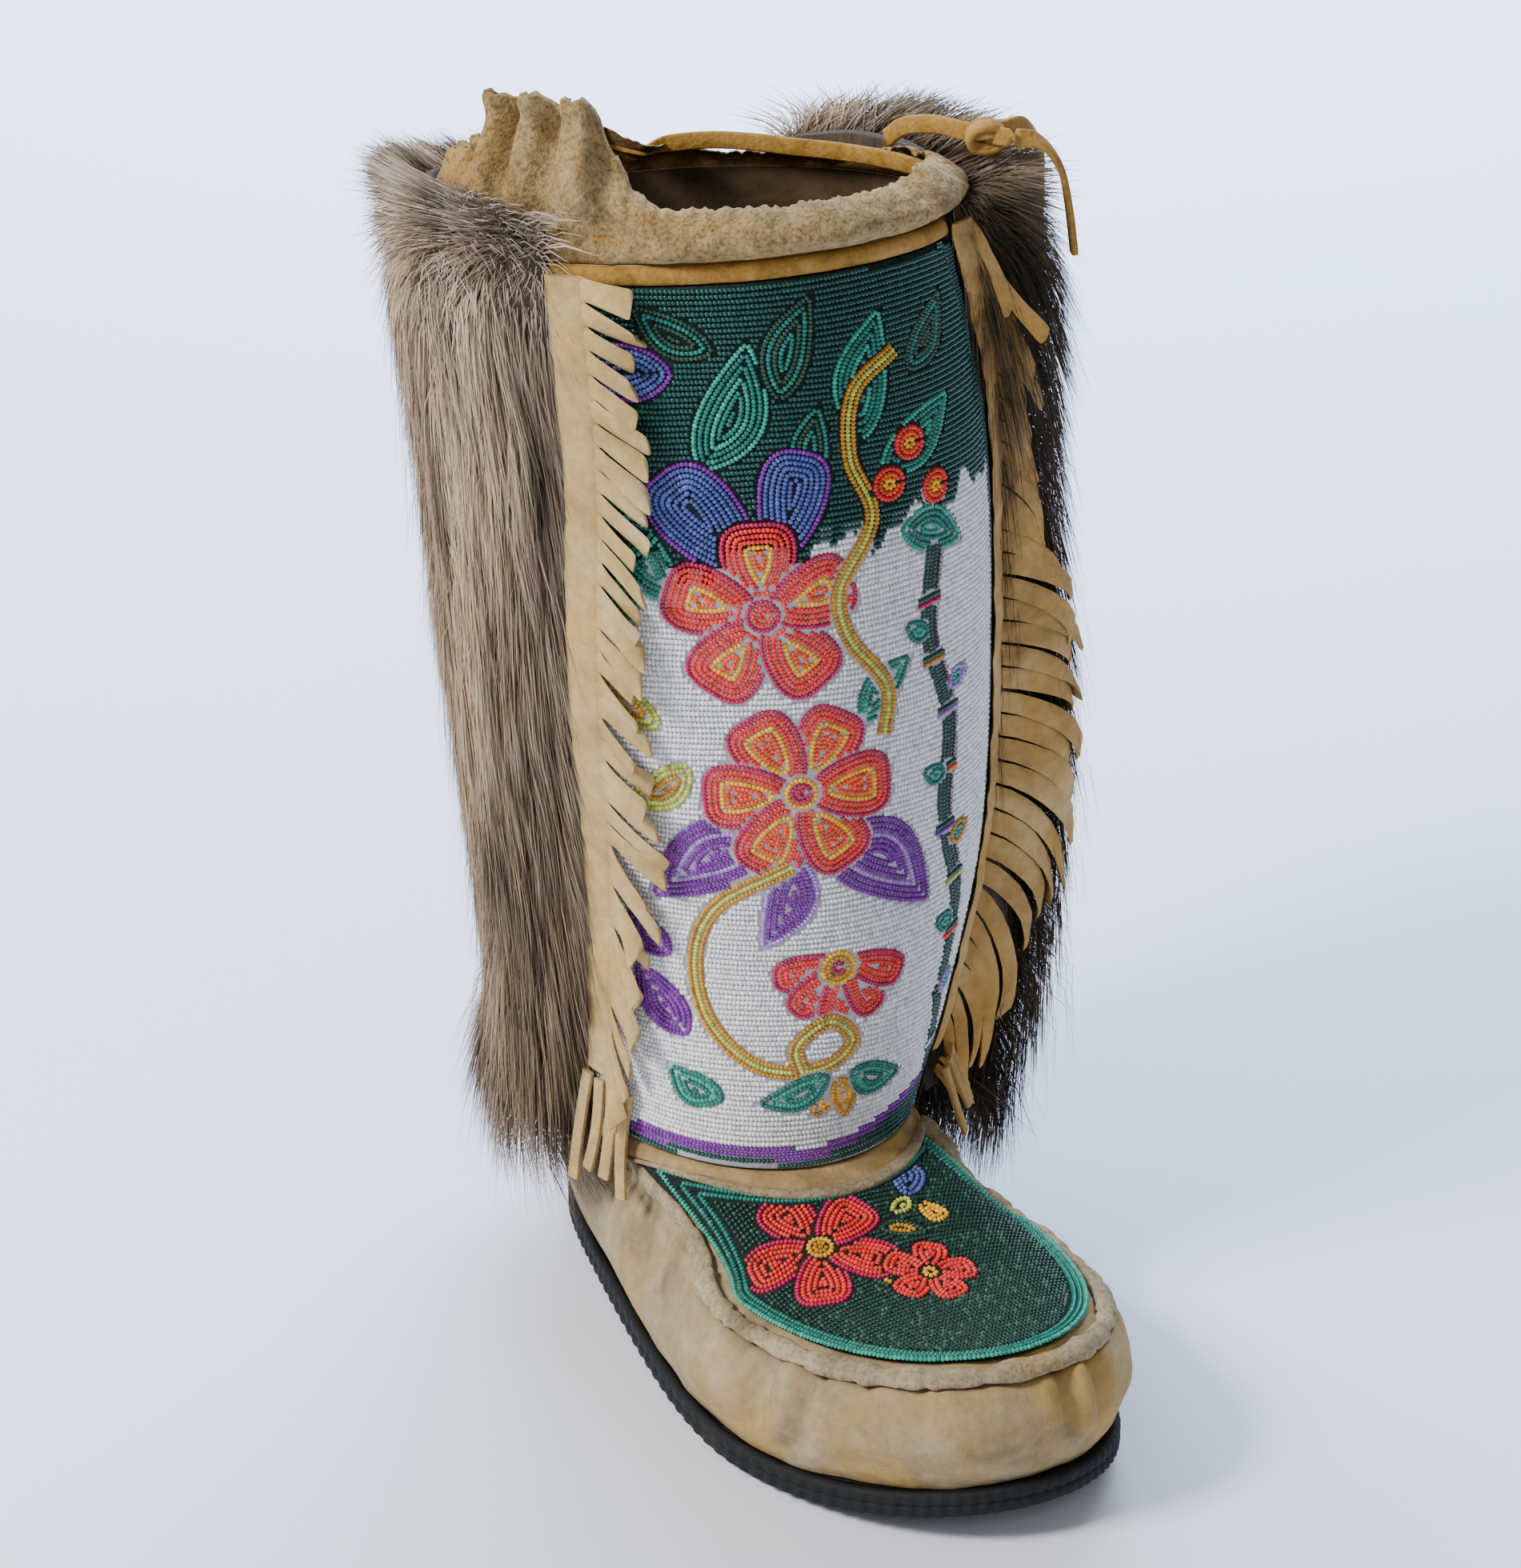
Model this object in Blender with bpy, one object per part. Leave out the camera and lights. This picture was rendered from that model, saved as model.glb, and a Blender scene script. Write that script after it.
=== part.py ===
# A right mukluk boot: hide foot and leg, beaded front and vamp, fur wrap, fringes, gathered collar and rubber sole.
# Metres, +Z up. The toe points to -Y, the outer side of the foot is -X, and the floor is Z = 0.
# The origin is on the floor, under the middle of the heel.
import math
from collections import namedtuple

import bpy
import bmesh
from mathutils import Vector

# Driving sizes of the foot
FOOT_LENGTH = 0.262
BALL_WIDTH = 0.124
HEEL_WIDTH = 0.086
HEEL_REACH = 0.040
INSTEP_HEIGHT = 0.058
TOE_SWING = 0.011
ARCH_DEPTH = 0.004
HEEL_SQUARENESS = 1.1

# Driving sizes of the leg
LEG_HEIGHT = 0.358
LEG_WIDTH = 0.150
LEG_DEPTH = 0.142
LEG_CENTRE_REACH = 0.078
LEG_LEAN = 0.010
LEG_BACK_DROP = 0.012

# Walls, layers and the clearance between neighbours
HIDE_WALL = 0.0020
GAP = 0.0004
FUR_GAP = 0.0006
FUR_HEM_GAP = 0.0024
BEAD_LAYER = 0.0026
WELT_WIDTH = 0.0050
WELT_HEIGHT = 0.0034
WELT_LIFT = 0.0008
WELT_TOP_DROP = 0.70
PANEL_LIFT = 0.0007
BINDING_THICKNESS = 0.0022
PIPING_THICKNESS = 0.0024

# Rubber sole and felt insole
SOLE_THICKNESS = 0.0095
SOLE_INSET = 0.0012
SOLE_STEP = 0.0010
TREAD_DEPTH = 0.0024
TREAD_PITCH = 0.0125
TREAD_GROOVE = 0.0035
TOE_SPRING = 0.0110
SPRING_START = 0.66
INSOLE_THICKNESS = 0.0045
INSOLE_CLEAR = 0.0012
UNDER_MARGIN = 0.0120

# Fur wrap
FUR_DEPTH = 0.0190
FUR_EDGE_DEPTH = 0.0045
FUR_EDGE_RUN = 0.0300
FUR_TOP_CLEAR = 0.0070
FUR_LOCK_RELIEF = 0.0050
FUR_TUFT = 0.0050
FUR_HEM_LEVEL = 6.60
FUR_HEM_RAISE = 1.50
FUR_EDGE_CLEAR = 0.0014
FUR_HEM_CLEAR = 0.0090
FUR_LOW_SPREAD = 0.35
FUR_TOP_RISE = 0.0190
FUR_ROUND_BACK = 0.3400

# Fringes
FRINGE_BAND = 0.0075
FRINGE_THICKNESS = 0.0018
FRINGE_PITCH = 0.0098
FRINGE_SLIT = 0.0010
OUTER_BAND_LIFT = 0.0036
OUTER_EDGE_LIFT = 0.0038
OUTER_STRIP_RUN = 0.0170
OUTER_STRIP_DROP = 0.0150
OUTER_STRIP_LIFT = 0.0070
INNER_BAND_LIFT = 0.0034
INNER_EDGE_LIFT = 0.0070
INNER_STRIP_RUN = 0.0220
INNER_STRIP_DROP = 0.0300
INNER_STRIP_LIFT = 0.0380
BUNCH_STRIP = 0.0048
BUNCH_GAP = 0.0010
BUNCH_TOP_DROP = 0.0010
BUNCH_BAND = 0.0050
OUTER_BUNCH_DROP = 0.0300
INNER_BUNCH_DROP = 0.0150
INNER_BUNCH_START = -0.0070

# Gathered collar and its drawstring
COLLAR_WALL = 0.0020
COLLAR_RISE = 0.0420
COLLAR_STRING_RISE = 0.0100
COLLAR_FOLDS = 13
COLLAR_RIPPLE = 0.0040
COLLAR_BULGE = 0.0022
COLLAR_DRAW_IN = 0.0030
COLLAR_LEAN_IN = 0.0065
THONG_WIDTH = 0.0072
THONG_THICKNESS = 0.0022
STRING_INSET = 0.0074
KNOT_RADIUS = 0.0062

# Number of facets
FRONT_COLUMNS = 16
BACK_COLUMNS = 18
ROWS_PER_SECTION = 2
SOLE_FACETS = 40
FUR_COLUMNS = 28
COLLAR_COLUMNS = 60
STRING_COLUMNS = 28
FIRST_LEVEL = 0.35

# Rings of the foot, from the underside up. Reaches are shares of the foot's length forward of the heel's back,
# heights are shares of the instep's height above the sole, and widths are shares of the heel's and ball's widths.
# The last two columns are the angles of the panel's outer and inner edge, counted from the toe.
Ring = namedtuple("Ring", "name front_reach front_height back_reach back_height heel ball blunt swing outer inner")
FOOT_RINGS = (
    Ring("edge", 0.982, 0.00, 0.014, 0.00, 0.92, 0.955, 2.9, 1.00, -78, 78),
    Ring("side", 0.997, 0.12, 0.002, 0.12, 0.98, 1.005, 2.9, 1.00, -78, 78),
    Ring("wall", 1.000, 0.30, 0.000, 0.30, 1.00, 1.030, 2.9, 1.00, -78, 78),
    Ring("seam", 0.972, 0.60, 0.004, 0.62, 0.94, 0.885, 3.2, 1.00, -76, 76),
    Ring("toes", 0.900, 0.655, 0.008, 0.72, 0.97, 0.780, 3.0, 0.95, -75, 72),
    Ring("vamp", 0.800, 0.71, 0.013, 0.84, 0.98, 0.735, 2.8, 0.80, -75, 66),
    Ring("arch", 0.700, 0.79, 0.020, 0.96, 1.01, 0.750, 2.6, 0.60, -76, 58),
    Ring("rise", 0.612, 0.88, 0.027, 1.08, 1.05, 0.790, 2.4, 0.35, -78, 50),
    Ring("bend", 0.552, 1.02, 0.032, 1.22, 1.10, 0.830, 2.2, 0.15, -80, 42),
)

# Rings of the leg. Heights are shares of the leg's height above the floor, depths and widths are shares of the leg's,
# and the lean and slope are shares of the leg's lean to the inner side and of its edge's drop at the back.
LegRing = namedtuple("LegRing", "name height front back width lean slope outer inner")
LEG_RINGS = (
    LegRing("ankle", 0.300, 0.950, 0.900, 0.770, 0.70, 0.0, -82, 50),
    LegRing("shin", 0.440, 0.940, 0.910, 0.900, 1.00, 0.0, -74, 58),
    LegRing("calf", 0.640, 0.950, 0.960, 0.985, 0.60, 0.1, -68, 60),
    LegRing("knee", 0.820, 0.960, 1.010, 1.010, 0.10, 0.5, -62, 55),
    LegRing("top", 1.000, 0.970, 1.040, 1.000, -0.80, 1.0, -59, 41),
    LegRing("above", 1.140, 0.980, 1.050, 1.010, -1.10, 1.0, -58, 40),
)

# The collar's edge above the leg's top and the drawstring in it, by angle from the toe, as shares of their full rises
CollarStep = namedtuple("CollarStep", "angle rise string")
COLLAR_STEPS = (
    CollarStep(-180, 0.33, 0.90),
    CollarStep(-150, 0.43, 0.85),
    CollarStep(-115, 0.52, 0.80),
    CollarStep(-92, 0.69, 0.75),
    CollarStep(-72, 1.00, 0.70),
    CollarStep(-54, 0.93, 0.65),
    CollarStep(-32, 0.32, 0.60),
    CollarStep(0, 0.29, 0.55),
    CollarStep(45, 0.31, 0.60),
    CollarStep(85, 0.25, 0.75),
    CollarStep(120, 0.12, 0.95),
    CollarStep(148, 0.11, 1.00),
    CollarStep(165, 0.21, 0.95),
    CollarStep(180, 0.33, 0.90),
)

# Height of the fur's top above the leg's edge, by share of the way round from the inner fringe to the outer one,
# as a share of its full rise
FurStep = namedtuple("FurStep", "share rise")
FUR_TOP = (
    FurStep(0.00, 0.16),
    FurStep(0.11, 0.24),
    FurStep(0.17, 0.53),
    FurStep(0.24, 0.84),
    FurStep(0.32, 0.79),
    FurStep(0.40, 0.40),
    FurStep(0.55, 0.50),
    FurStep(0.78, 0.95),
    FurStep(0.93, 1.00),
    FurStep(1.00, 0.63),
)

# How far the fringe's strips run round the leg and drop and how far their tips stand off the hide, by share of the
# band's length from its top end, as shares of the longest run, drop and lift
FringeStep = namedtuple("FringeStep", "share run drop lift")
OUTER_FRINGE = (
    FringeStep(0.00, 0.88, 0.47, 0.93),
    FringeStep(0.12, 0.94, 0.87, 0.89),
    FringeStep(0.45, 0.88, 1.00, 0.86),
    FringeStep(0.75, 1.00, 1.00, 0.93),
    FringeStep(1.00, 0.76, 0.13, 1.00),
)
INNER_FRINGE = (
    FringeStep(0.00, 0.36, 1.00, 0.50),
    FringeStep(0.20, 0.55, 0.87, 0.63),
    FringeStep(0.42, 1.00, 0.67, 0.92),
    FringeStep(0.75, 1.00, 0.63, 1.00),
    FringeStep(1.00, 0.64, 0.10, 0.82),
)
Fringe = namedtuple("Fringe", "table run drop lift band_lift edge_lift")
OUTER = Fringe(OUTER_FRINGE, OUTER_STRIP_RUN, OUTER_STRIP_DROP, OUTER_STRIP_LIFT, OUTER_BAND_LIFT, OUTER_EDGE_LIFT)
INNER = Fringe(INNER_FRINGE, INNER_STRIP_RUN, INNER_STRIP_DROP, INNER_STRIP_LIFT, INNER_BAND_LIFT, INNER_EDGE_LIFT)

# The bunch of strips at each fringe's foot: how many, where it starts round the leg and how long it hangs. The last
# numbers are shares of a strip's width: how far it stands off at its top, how much more at its tips, and the spread.
Bunch = namedtuple("Bunch", "strips start drop lift rise spread")
OUTER_BUNCH = Bunch(4, 0.0, OUTER_BUNCH_DROP, 1.00, 1.04, 0.25)
INNER_BUNCH = Bunch(3, INNER_BUNCH_START, INNER_BUNCH_DROP, 1.83, 1.46, 0.25)

# Layers on the upper's front: levels from the bottom to the top, shares of the panel's width, lift and thickness
Layer = namedtuple("Layer", "name bottom top outer inner lift thickness surface")
LAYERS = (
    Layer("vamp_plug", 3.35, 7.42, 0.05, 0.95, GAP, BEAD_LAYER, "green_beads"),
    Layer("base_binding", 7.56, 7.96, 0.02, 0.98, GAP, BINDING_THICKNESS, "smoked_hide"),
    Layer("front_bead_panel", 8.02, 12.90, 0.00, 1.00, PANEL_LIFT, BEAD_LAYER, "white_beads"),
    Layer("top_piping", 12.912, 12.995, 0.00, 1.00, GAP, PIPING_THICKNESS, "thong_hide"),
)

# The path of each loose piece of the thong: angle from the toe, height above the leg's top, distance off the hide
ThongStep = namedtuple("ThongStep", "angle rise off")
TIE_LOOP = (
    ThongStep(92, 0.0140, -0.0085),
    ThongStep(86, 0.0182, -0.0062),
    ThongStep(78, 0.0195, -0.0005),
    ThongStep(71, 0.0185, 0.0058),
)
TIE_END_FRONT = (
    ThongStep(64, 0.0175, 0.0179),
    ThongStep(65, 0.0155, 0.0270),
    ThongStep(66, 0.0060, 0.0330),
    ThongStep(67, -0.0080, 0.0350),
    ThongStep(67, -0.0240, 0.0350),
)
TIE_END_BACK = (
    ThongStep(71.5, 0.0175, 0.0170),
    ThongStep(76, 0.0165, 0.0260),
    ThongStep(80, 0.0080, 0.0330),
    ThongStep(83, -0.0060, 0.0350),
    ThongStep(86, -0.0260, 0.0350),
    ThongStep(88, -0.0460, 0.0345),
)
KNOT_ANGLE = 68
KNOT_RISE = 0.0180
KNOT_OFF = 0.0115

LEVEL = {ring.name: i for i, ring in enumerate(FOOT_RINGS + LEG_RINGS)}
FRINGE_TOP_LEVEL = LEVEL["top"] - 0.03
FRINGE_FOOT_LEVEL = LEVEL["bend"] + 0.55
SOLE_TOP = SOLE_THICKNESS
Section = namedtuple("Section", "front_y front_z back_y back_z heel ball blunt swing lean outer inner")


def smooth(x):
    x = min(1.0, max(0.0, x))
    return x * x * (3 - 2 * x)


def mix(a, b, share):
    return a + (b - a) * share


def reach_y(share):
    """Y of a place that lies this share of the foot's length forward of the heel's back."""
    return HEEL_REACH - share * FOOT_LENGTH


def foot_section(ring):
    return Section(
        reach_y(ring.front_reach),
        SOLE_TOP + ring.front_height * INSTEP_HEIGHT,
        reach_y(ring.back_reach),
        SOLE_TOP + ring.back_height * INSTEP_HEIGHT,
        ring.heel * HEEL_WIDTH / 2,
        ring.ball * BALL_WIDTH / 2,
        ring.blunt,
        ring.swing,
        0.0,
        ring.outer,
        ring.inner,
    )


def leg_section(ring):
    centre = HEEL_REACH - LEG_CENTRE_REACH
    height = ring.height * LEG_HEIGHT
    back_height = height - ring.slope * LEG_BACK_DROP
    half = ring.width * LEG_WIDTH / 2
    front = centre - ring.front * LEG_DEPTH / 2
    back = centre + ring.back * LEG_DEPTH / 2
    lean = ring.lean * LEG_LEAN
    return Section(front, height, back, back_height, half, half, 2.0, 0.0, lean, ring.outer, ring.inner)


SECTIONS = [foot_section(ring) for ring in FOOT_RINGS] + [leg_section(ring) for ring in LEG_RINGS]


def section_at(level):
    """The section at a level between two rings, by a smooth curve through each column of the tables."""
    last = len(SECTIONS) - 1
    level = min(float(last), max(0.0, level))
    i = min(int(level), last - 1)
    f = level - i
    before = SECTIONS[max(i - 1, 0)]
    here = SECTIONS[i]
    there = SECTIONS[i + 1]
    after = SECTIONS[min(i + 2, last)]
    values = []
    for a, b, c, d in zip(before, here, there, after):
        slope_in = (c - a) / 2
        slope_out = (d - b) / 2
        h = f * f * (3 - 2 * f)
        value = mix(b, c, h) + slope_in * f * (1 - f) ** 2 - slope_out * f * f * (1 - f)
        values.append(value)
    return Section(*values)


def spring_lift(y):
    """How far the sole curls up towards the toe at this Y."""
    share = (HEEL_REACH - y) / FOOT_LENGTH
    run = max(0.0, share - SPRING_START) / (1 - SPRING_START)
    return TOE_SPRING * run * run


def skin_point(angle, level):
    """A point of the boot's outer hide. Angle 0 is the toe, and positive angles turn to the inner side."""
    s = section_at(level)
    share = (1 + math.cos(angle)) / 2
    ball_share = smooth((share - 0.12) / 0.62)
    side = 1.0 if math.sin(angle) >= 0 else -1.0
    blunt = s.blunt + HEEL_SQUARENESS * s.swing * (1 - smooth(2 * share))
    round_end = max(0.0, 1 - abs(math.cos(angle)) ** blunt) ** 0.5
    half = mix(s.heel, s.ball, ball_share) * round_end
    waist = s.swing * ARCH_DEPTH * math.sin(math.pi * share) ** 4
    if side > 0:
        half -= waist
    y = mix(s.back_y, s.front_y, share)
    x = side * half + s.lean + s.swing * TOE_SWING * (share - 0.35) * share
    z = mix(s.back_z, s.front_z, share) + spring_lift(y) * s.swing
    return Vector((x, y, z))


def skin_normal(angle, level):
    da = 0.01
    dl = 0.02
    low = max(0.0, level - dl)
    high = min(len(SECTIONS) - 1.0, level + dl)
    around = skin_point(angle + da, level) - skin_point(angle - da, level)
    along = skin_point(angle, high) - skin_point(angle, low)
    return around.cross(along).normalized()


def hide(angle, level, offset=0.0):
    """A point this far outside the hide's outer face, or inside it where the offset is negative."""
    point = skin_point(angle, level)
    if offset:
        point += skin_normal(angle, level) * offset
    return point


def edge_angle(level, share):
    """An angle across the front, from the panel's outer edge at share 0 to its inner edge at share 1."""
    s = section_at(level)
    return math.radians(mix(s.outer, s.inner, share))


def back_angle(level, share):
    """An angle round the back, from the panel's inner edge at share 0 to its outer edge at share 1."""
    s = section_at(level)
    return math.radians(mix(s.inner, s.outer + 360, share))


def column_angle(level, column):
    if column <= FRONT_COLUMNS:
        return edge_angle(level, column / FRONT_COLUMNS)
    return back_angle(level, (column - FRONT_COLUMNS) / BACK_COLUMNS)


def arc_per_degree(angle, level):
    """Metres round the hide for each degree at this place."""
    step = math.radians(1)
    return (skin_point(angle + step / 2, level) - skin_point(angle - step / 2, level)).length


def level_at_height(angle, height):
    """The level where the hide reaches this height at this angle, on the leg."""
    low = float(LEVEL["seam"])
    high = float(len(SECTIONS) - 1)
    for _ in range(40):
        middle = (low + high) / 2
        if skin_point(angle, middle).z < height:
            low = middle
        else:
            high = middle
    return (low + high) / 2


# Mesh helpers
def colour_material(name, colour, roughness):
    material = bpy.data.materials.new(name)
    material.use_nodes = True
    shader = material.node_tree.nodes["Principled BSDF"]
    shader.inputs["Base Color"].default_value = (*colour, 1)
    shader.inputs["Roughness"].default_value = roughness
    shader.inputs["Metallic"].default_value = 0.0
    material.diffuse_color = (*colour, 1)
    return material


def add_object(name, points, faces, material):
    mesh = bpy.data.meshes.new(name)
    mesh.from_pydata([tuple(p) for p in points], [], faces)
    work = bmesh.new()
    work.from_mesh(mesh)
    bmesh.ops.remove_doubles(work, verts=work.verts, dist=1e-6)
    bmesh.ops.recalc_face_normals(work, faces=work.faces)
    if work.calc_volume(signed=True) < 0:
        bmesh.ops.reverse_faces(work, faces=work.faces)
    work.to_mesh(mesh)
    work.free()
    mesh.materials.append(material)
    mesh.shade_smooth()
    mesh.set_sharp_from_angle(angle=math.radians(40))
    result = bpy.data.objects.new(name, mesh)
    bpy.context.scene.collection.objects.link(result)
    return result


def grid_faces(rows, columns, start=0, wrap=False, flip=False):
    """Quads of a grid of points laid out row by row."""
    faces = []
    for r in range(rows - 1):
        for c in range(columns if wrap else columns - 1):
            d = (c + 1) % columns
            quad = (
                start + r * columns + c,
                start + r * columns + d,
                start + (r + 1) * columns + d,
                start + (r + 1) * columns + c,
            )
            faces.append(quad[::-1] if flip else quad)
    return faces


def tube_shell(name, outer_rows, inner_rows, material):
    """A closed wall between two stacks of closed rings, joined at the first and the last ring."""
    rows = outer_rows + inner_rows[::-1] + outer_rows[:1]
    columns = len(rows[0])
    points = [p for row in rows for p in row]
    return add_object(name, points, grid_faces(len(rows), columns, wrap=True), material)


def patch_shell(name, outer_rows, inner_rows, material):
    """A closed slab between two grids of the same size, with side walls round it."""
    rows = len(outer_rows)
    columns = len(outer_rows[0])
    half = rows * columns
    points = [p for row in outer_rows for p in row] + [p for row in inner_rows for p in row]
    faces = grid_faces(rows, columns) + grid_faces(rows, columns, start=half, flip=True)
    rim = [(0, c) for c in range(columns)]
    rim += [(r, columns - 1) for r in range(1, rows)]
    rim += [(rows - 1, c) for c in range(columns - 2, -1, -1)]
    rim += [(r, 0) for r in range(rows - 2, 0, -1)]
    index = [r * columns + c for r, c in rim]
    for a, b in zip(index, index[1:] + index[:1]):
        faces.append((a, b, b + half, a + half))
    return add_object(name, points, faces, material)


def sheet_solid(name, points, normals, faces, thickness, material):
    """A sheet of quads given a thickness along its normals, with a wall along each open edge."""
    count = len(points)
    both = points + [p + n * thickness for p, n in zip(points, normals)]
    solid_faces = [tuple(f) for f in faces]
    solid_faces += [tuple(i + count for i in f[::-1]) for f in faces]
    used = {}
    for f in faces:
        for a, b in zip(f, f[1:] + f[:1]):
            used[(a, b)] = True
    for a, b in used:
        if (b, a) not in used:
            solid_faces.append((b, a, a + count, b + count))
    return add_object(name, both, solid_faces, material)


# Outsole and insole
def slab_rings(name, rings, material):
    """A closed solid from rings of points at paired angles, with caps that run across from side to side."""
    columns = len(rings[0])
    points = [p for ring in rings for p in ring]
    faces = grid_faces(len(rings), columns, wrap=True)
    for base in (0, (len(rings) - 1) * columns):
        for i in range(columns // 2):
            a = i
            b = i + 1
            c = (columns - b) % columns
            d = (columns - a) % columns
            corners = []
            for corner in (a, b, c, d):
                if base + corner not in corners:
                    corners.append(base + corner)
            faces.append(tuple(corners))
    return add_object(name, points, faces, material)


def even_angles(count):
    return [2 * math.pi * i / count for i in range(count)]


def outline_ring(level, inset, height):
    """The foot's outline at a level, drawn in by an inset, at a height above the sprung floor line."""
    ring = []
    for angle in even_angles(SOLE_FACETS):
        edge = skin_point(angle, level)
        ahead = skin_point(angle + 0.01, level)
        behind = skin_point(angle - 0.01, level)
        run = (ahead - behind)
        inward = Vector((-run.y, run.x, 0)).normalized()
        x = edge.x + inward.x * inset
        y = edge.y + inward.y * inset
        ring.append(Vector((x, y, height + spring_lift(y))))
    return ring


def make_outsole(material):
    side = LEVEL["side"]
    top = SOLE_TOP - GAP
    groove = SOLE_THICKNESS * 0.5
    rings = [
        outline_ring(side, SOLE_INSET + 2 * SOLE_STEP, 0.0),
        outline_ring(side, SOLE_INSET, SOLE_STEP),
        outline_ring(side, SOLE_INSET, groove - SOLE_STEP / 2),
        outline_ring(side, SOLE_INSET + SOLE_STEP, groove),
        outline_ring(side, SOLE_INSET, groove + SOLE_STEP / 2),
        outline_ring(side, SOLE_INSET + SOLE_STEP, top),
    ]
    outsole = slab_rings("outsole", rings, material)
    cutters = make_tread_cutters()
    cut = outsole.modifiers.new("tread", "BOOLEAN")
    cut.operation = "DIFFERENCE"
    cut.solver = "EXACT"
    cut.object = cutters
    return outsole


def make_tread_cutters():
    """Grooves across the underside, left out under the waist, as one cutter."""
    points = []
    faces = []
    first = -round(HEEL_REACH / TREAD_PITCH)
    count = int(FOOT_LENGTH / TREAD_PITCH)
    box_faces = ((0, 1, 3, 2), (4, 6, 7, 5), (0, 4, 5, 1), (2, 3, 7, 6), (0, 2, 6, 4), (1, 5, 7, 3))
    for i in range(first, first + count):
        y = -TREAD_PITCH * (i + 0.5)
        share = (HEEL_REACH - y) / FOOT_LENGTH
        if share < 0.03 or 0.30 < share < 0.46 or share > 0.95:
            continue
        start = len(points)
        top = TREAD_DEPTH + spring_lift(y)
        for dx in (-BALL_WIDTH, BALL_WIDTH):
            for dy in (-TREAD_GROOVE / 2, TREAD_GROOVE / 2):
                for z in (-TREAD_DEPTH * 2, top):
                    points.append(Vector((dx, y + dy, z)))
        faces += [tuple(start + c for c in face) for face in box_faces]
    cutter = add_object("tread_cutter", points, faces, RUBBER)
    cutter.hide_render = True
    cutter.display_type = "WIRE"
    return cutter


def make_insole(material):
    base = SOLE_TOP + HIDE_WALL + GAP
    inset = HIDE_WALL + INSOLE_CLEAR
    edge = LEVEL["edge"]
    rings = [outline_ring(edge, inset, base), outline_ring(edge, inset, base + INSOLE_THICKNESS)]
    return slab_rings("insole", rings, material)


# Upper
def ring_levels(first, last, per_section=ROWS_PER_SECTION):
    count = round((last - first) * per_section)
    return [first + (last - first) * i / count for i in range(count + 1)]


def upper_levels():
    """The levels of the upper's own rows, which the layers on it share."""
    return [FIRST_LEVEL] + ring_levels(1, LEVEL["top"])


def full_ring(level, offset):
    columns = FRONT_COLUMNS + BACK_COLUMNS
    return [hide(column_angle(level, c), level, offset) for c in range(columns)]


def margin_ring(inset, height):
    """A ring of the hide that is turned in under the foot."""
    ring = []
    for c in range(FRONT_COLUMNS + BACK_COLUMNS):
        angle = column_angle(0.0, c)
        edge = skin_point(angle, 0.0)
        run = skin_point(angle + 0.01, 0.0) - skin_point(angle - 0.01, 0.0)
        inward = Vector((-run.y, run.x, 0)).normalized()
        x = edge.x + inward.x * inset
        y = edge.y + inward.y * inset
        ring.append(Vector((x, y, SOLE_TOP + height + spring_lift(y))))
    return ring


def make_upper(material):
    levels = upper_levels()
    outer = [margin_ring(UNDER_MARGIN, 0.0), margin_ring(0.0, 0.0)]
    outer += [full_ring(level, 0.0) for level in levels]
    inner = [margin_ring(UNDER_MARGIN, HIDE_WALL), margin_ring(HIDE_WALL, HIDE_WALL)]
    inner += [full_ring(level, -HIDE_WALL) for level in levels]
    return tube_shell("upper", outer, inner, material)


# Beaded front, vamp and the strips round them
def on_facet(share, level, offset):
    """A point off the upper's own facets: straight between its rows and columns."""
    rows = upper_levels()
    low = max(row for row in rows[:-1] if row <= level + 1e-9)
    high = rows[rows.index(low) + 1]
    column = min(int(share * FRONT_COLUMNS + 1e-9), FRONT_COLUMNS - 1)
    near = []
    for row in (low, high):
        a = hide(edge_angle(row, column / FRONT_COLUMNS), row, offset)
        b = hide(edge_angle(row, (column + 1) / FRONT_COLUMNS), row, offset)
        near.append(a.lerp(b, share * FRONT_COLUMNS - column))
    return near[0].lerp(near[1], (level - low) / (high - low))


def front_rows(levels, first, last, offset):
    """Rows across the front between two shares of the panel's width, on the upper's own columns."""
    shares = [first] + [c / FRONT_COLUMNS for c in range(FRONT_COLUMNS + 1)] + [last]
    shares = sorted({share for share in shares if first <= share <= last})
    return [[on_facet(share, level, offset) for share in shares] for level in levels]


def front_layer(layer):
    """A slab on the front between two levels, with its rows on the upper's own rows."""
    between = [row for row in upper_levels() if layer.bottom + 0.1 < row < layer.top - 0.1]
    levels = [layer.bottom] + between + [layer.top]
    outer = front_rows(levels, layer.outer, layer.inner, layer.lift + layer.thickness)
    inner = front_rows(levels, layer.outer, layer.inner, layer.lift)
    return patch_shell(layer.name, outer, inner, bpy.data.materials[layer.surface])


def make_seam_welt(material):
    """The puckered ridge round the vamp, along both sides and round the toe."""
    seam = float(LEVEL["seam"])
    top = LEVEL["bend"] - WELT_TOP_DROP
    path = []
    for level in ring_levels(top, seam + 0.5):
        path.append((0.0, level))
    corner = ((0.006, seam + 0.28), (0.022, seam + 0.10))
    path += corner
    path += [(c / FRONT_COLUMNS, seam) for c in range(1, FRONT_COLUMNS)]
    path += [(1 - share, level) for share, level in corner[::-1]]
    for level in ring_levels(seam + 0.5, top):
        path.append((1.0, level))
    centres = []
    normals = []
    for share, level in path:
        angle = edge_angle(level, share)
        centres.append(hide(angle, level, WELT_LIFT))
        normals.append(skin_normal(angle, level))
    profile = ((-0.5, 0.0), (-0.42, 0.7), (0.0, 1.0), (0.42, 0.7), (0.5, 0.0))
    return sweep("vamp_seam_welt", centres, normals, profile, WELT_WIDTH, WELT_HEIGHT, material)


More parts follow.
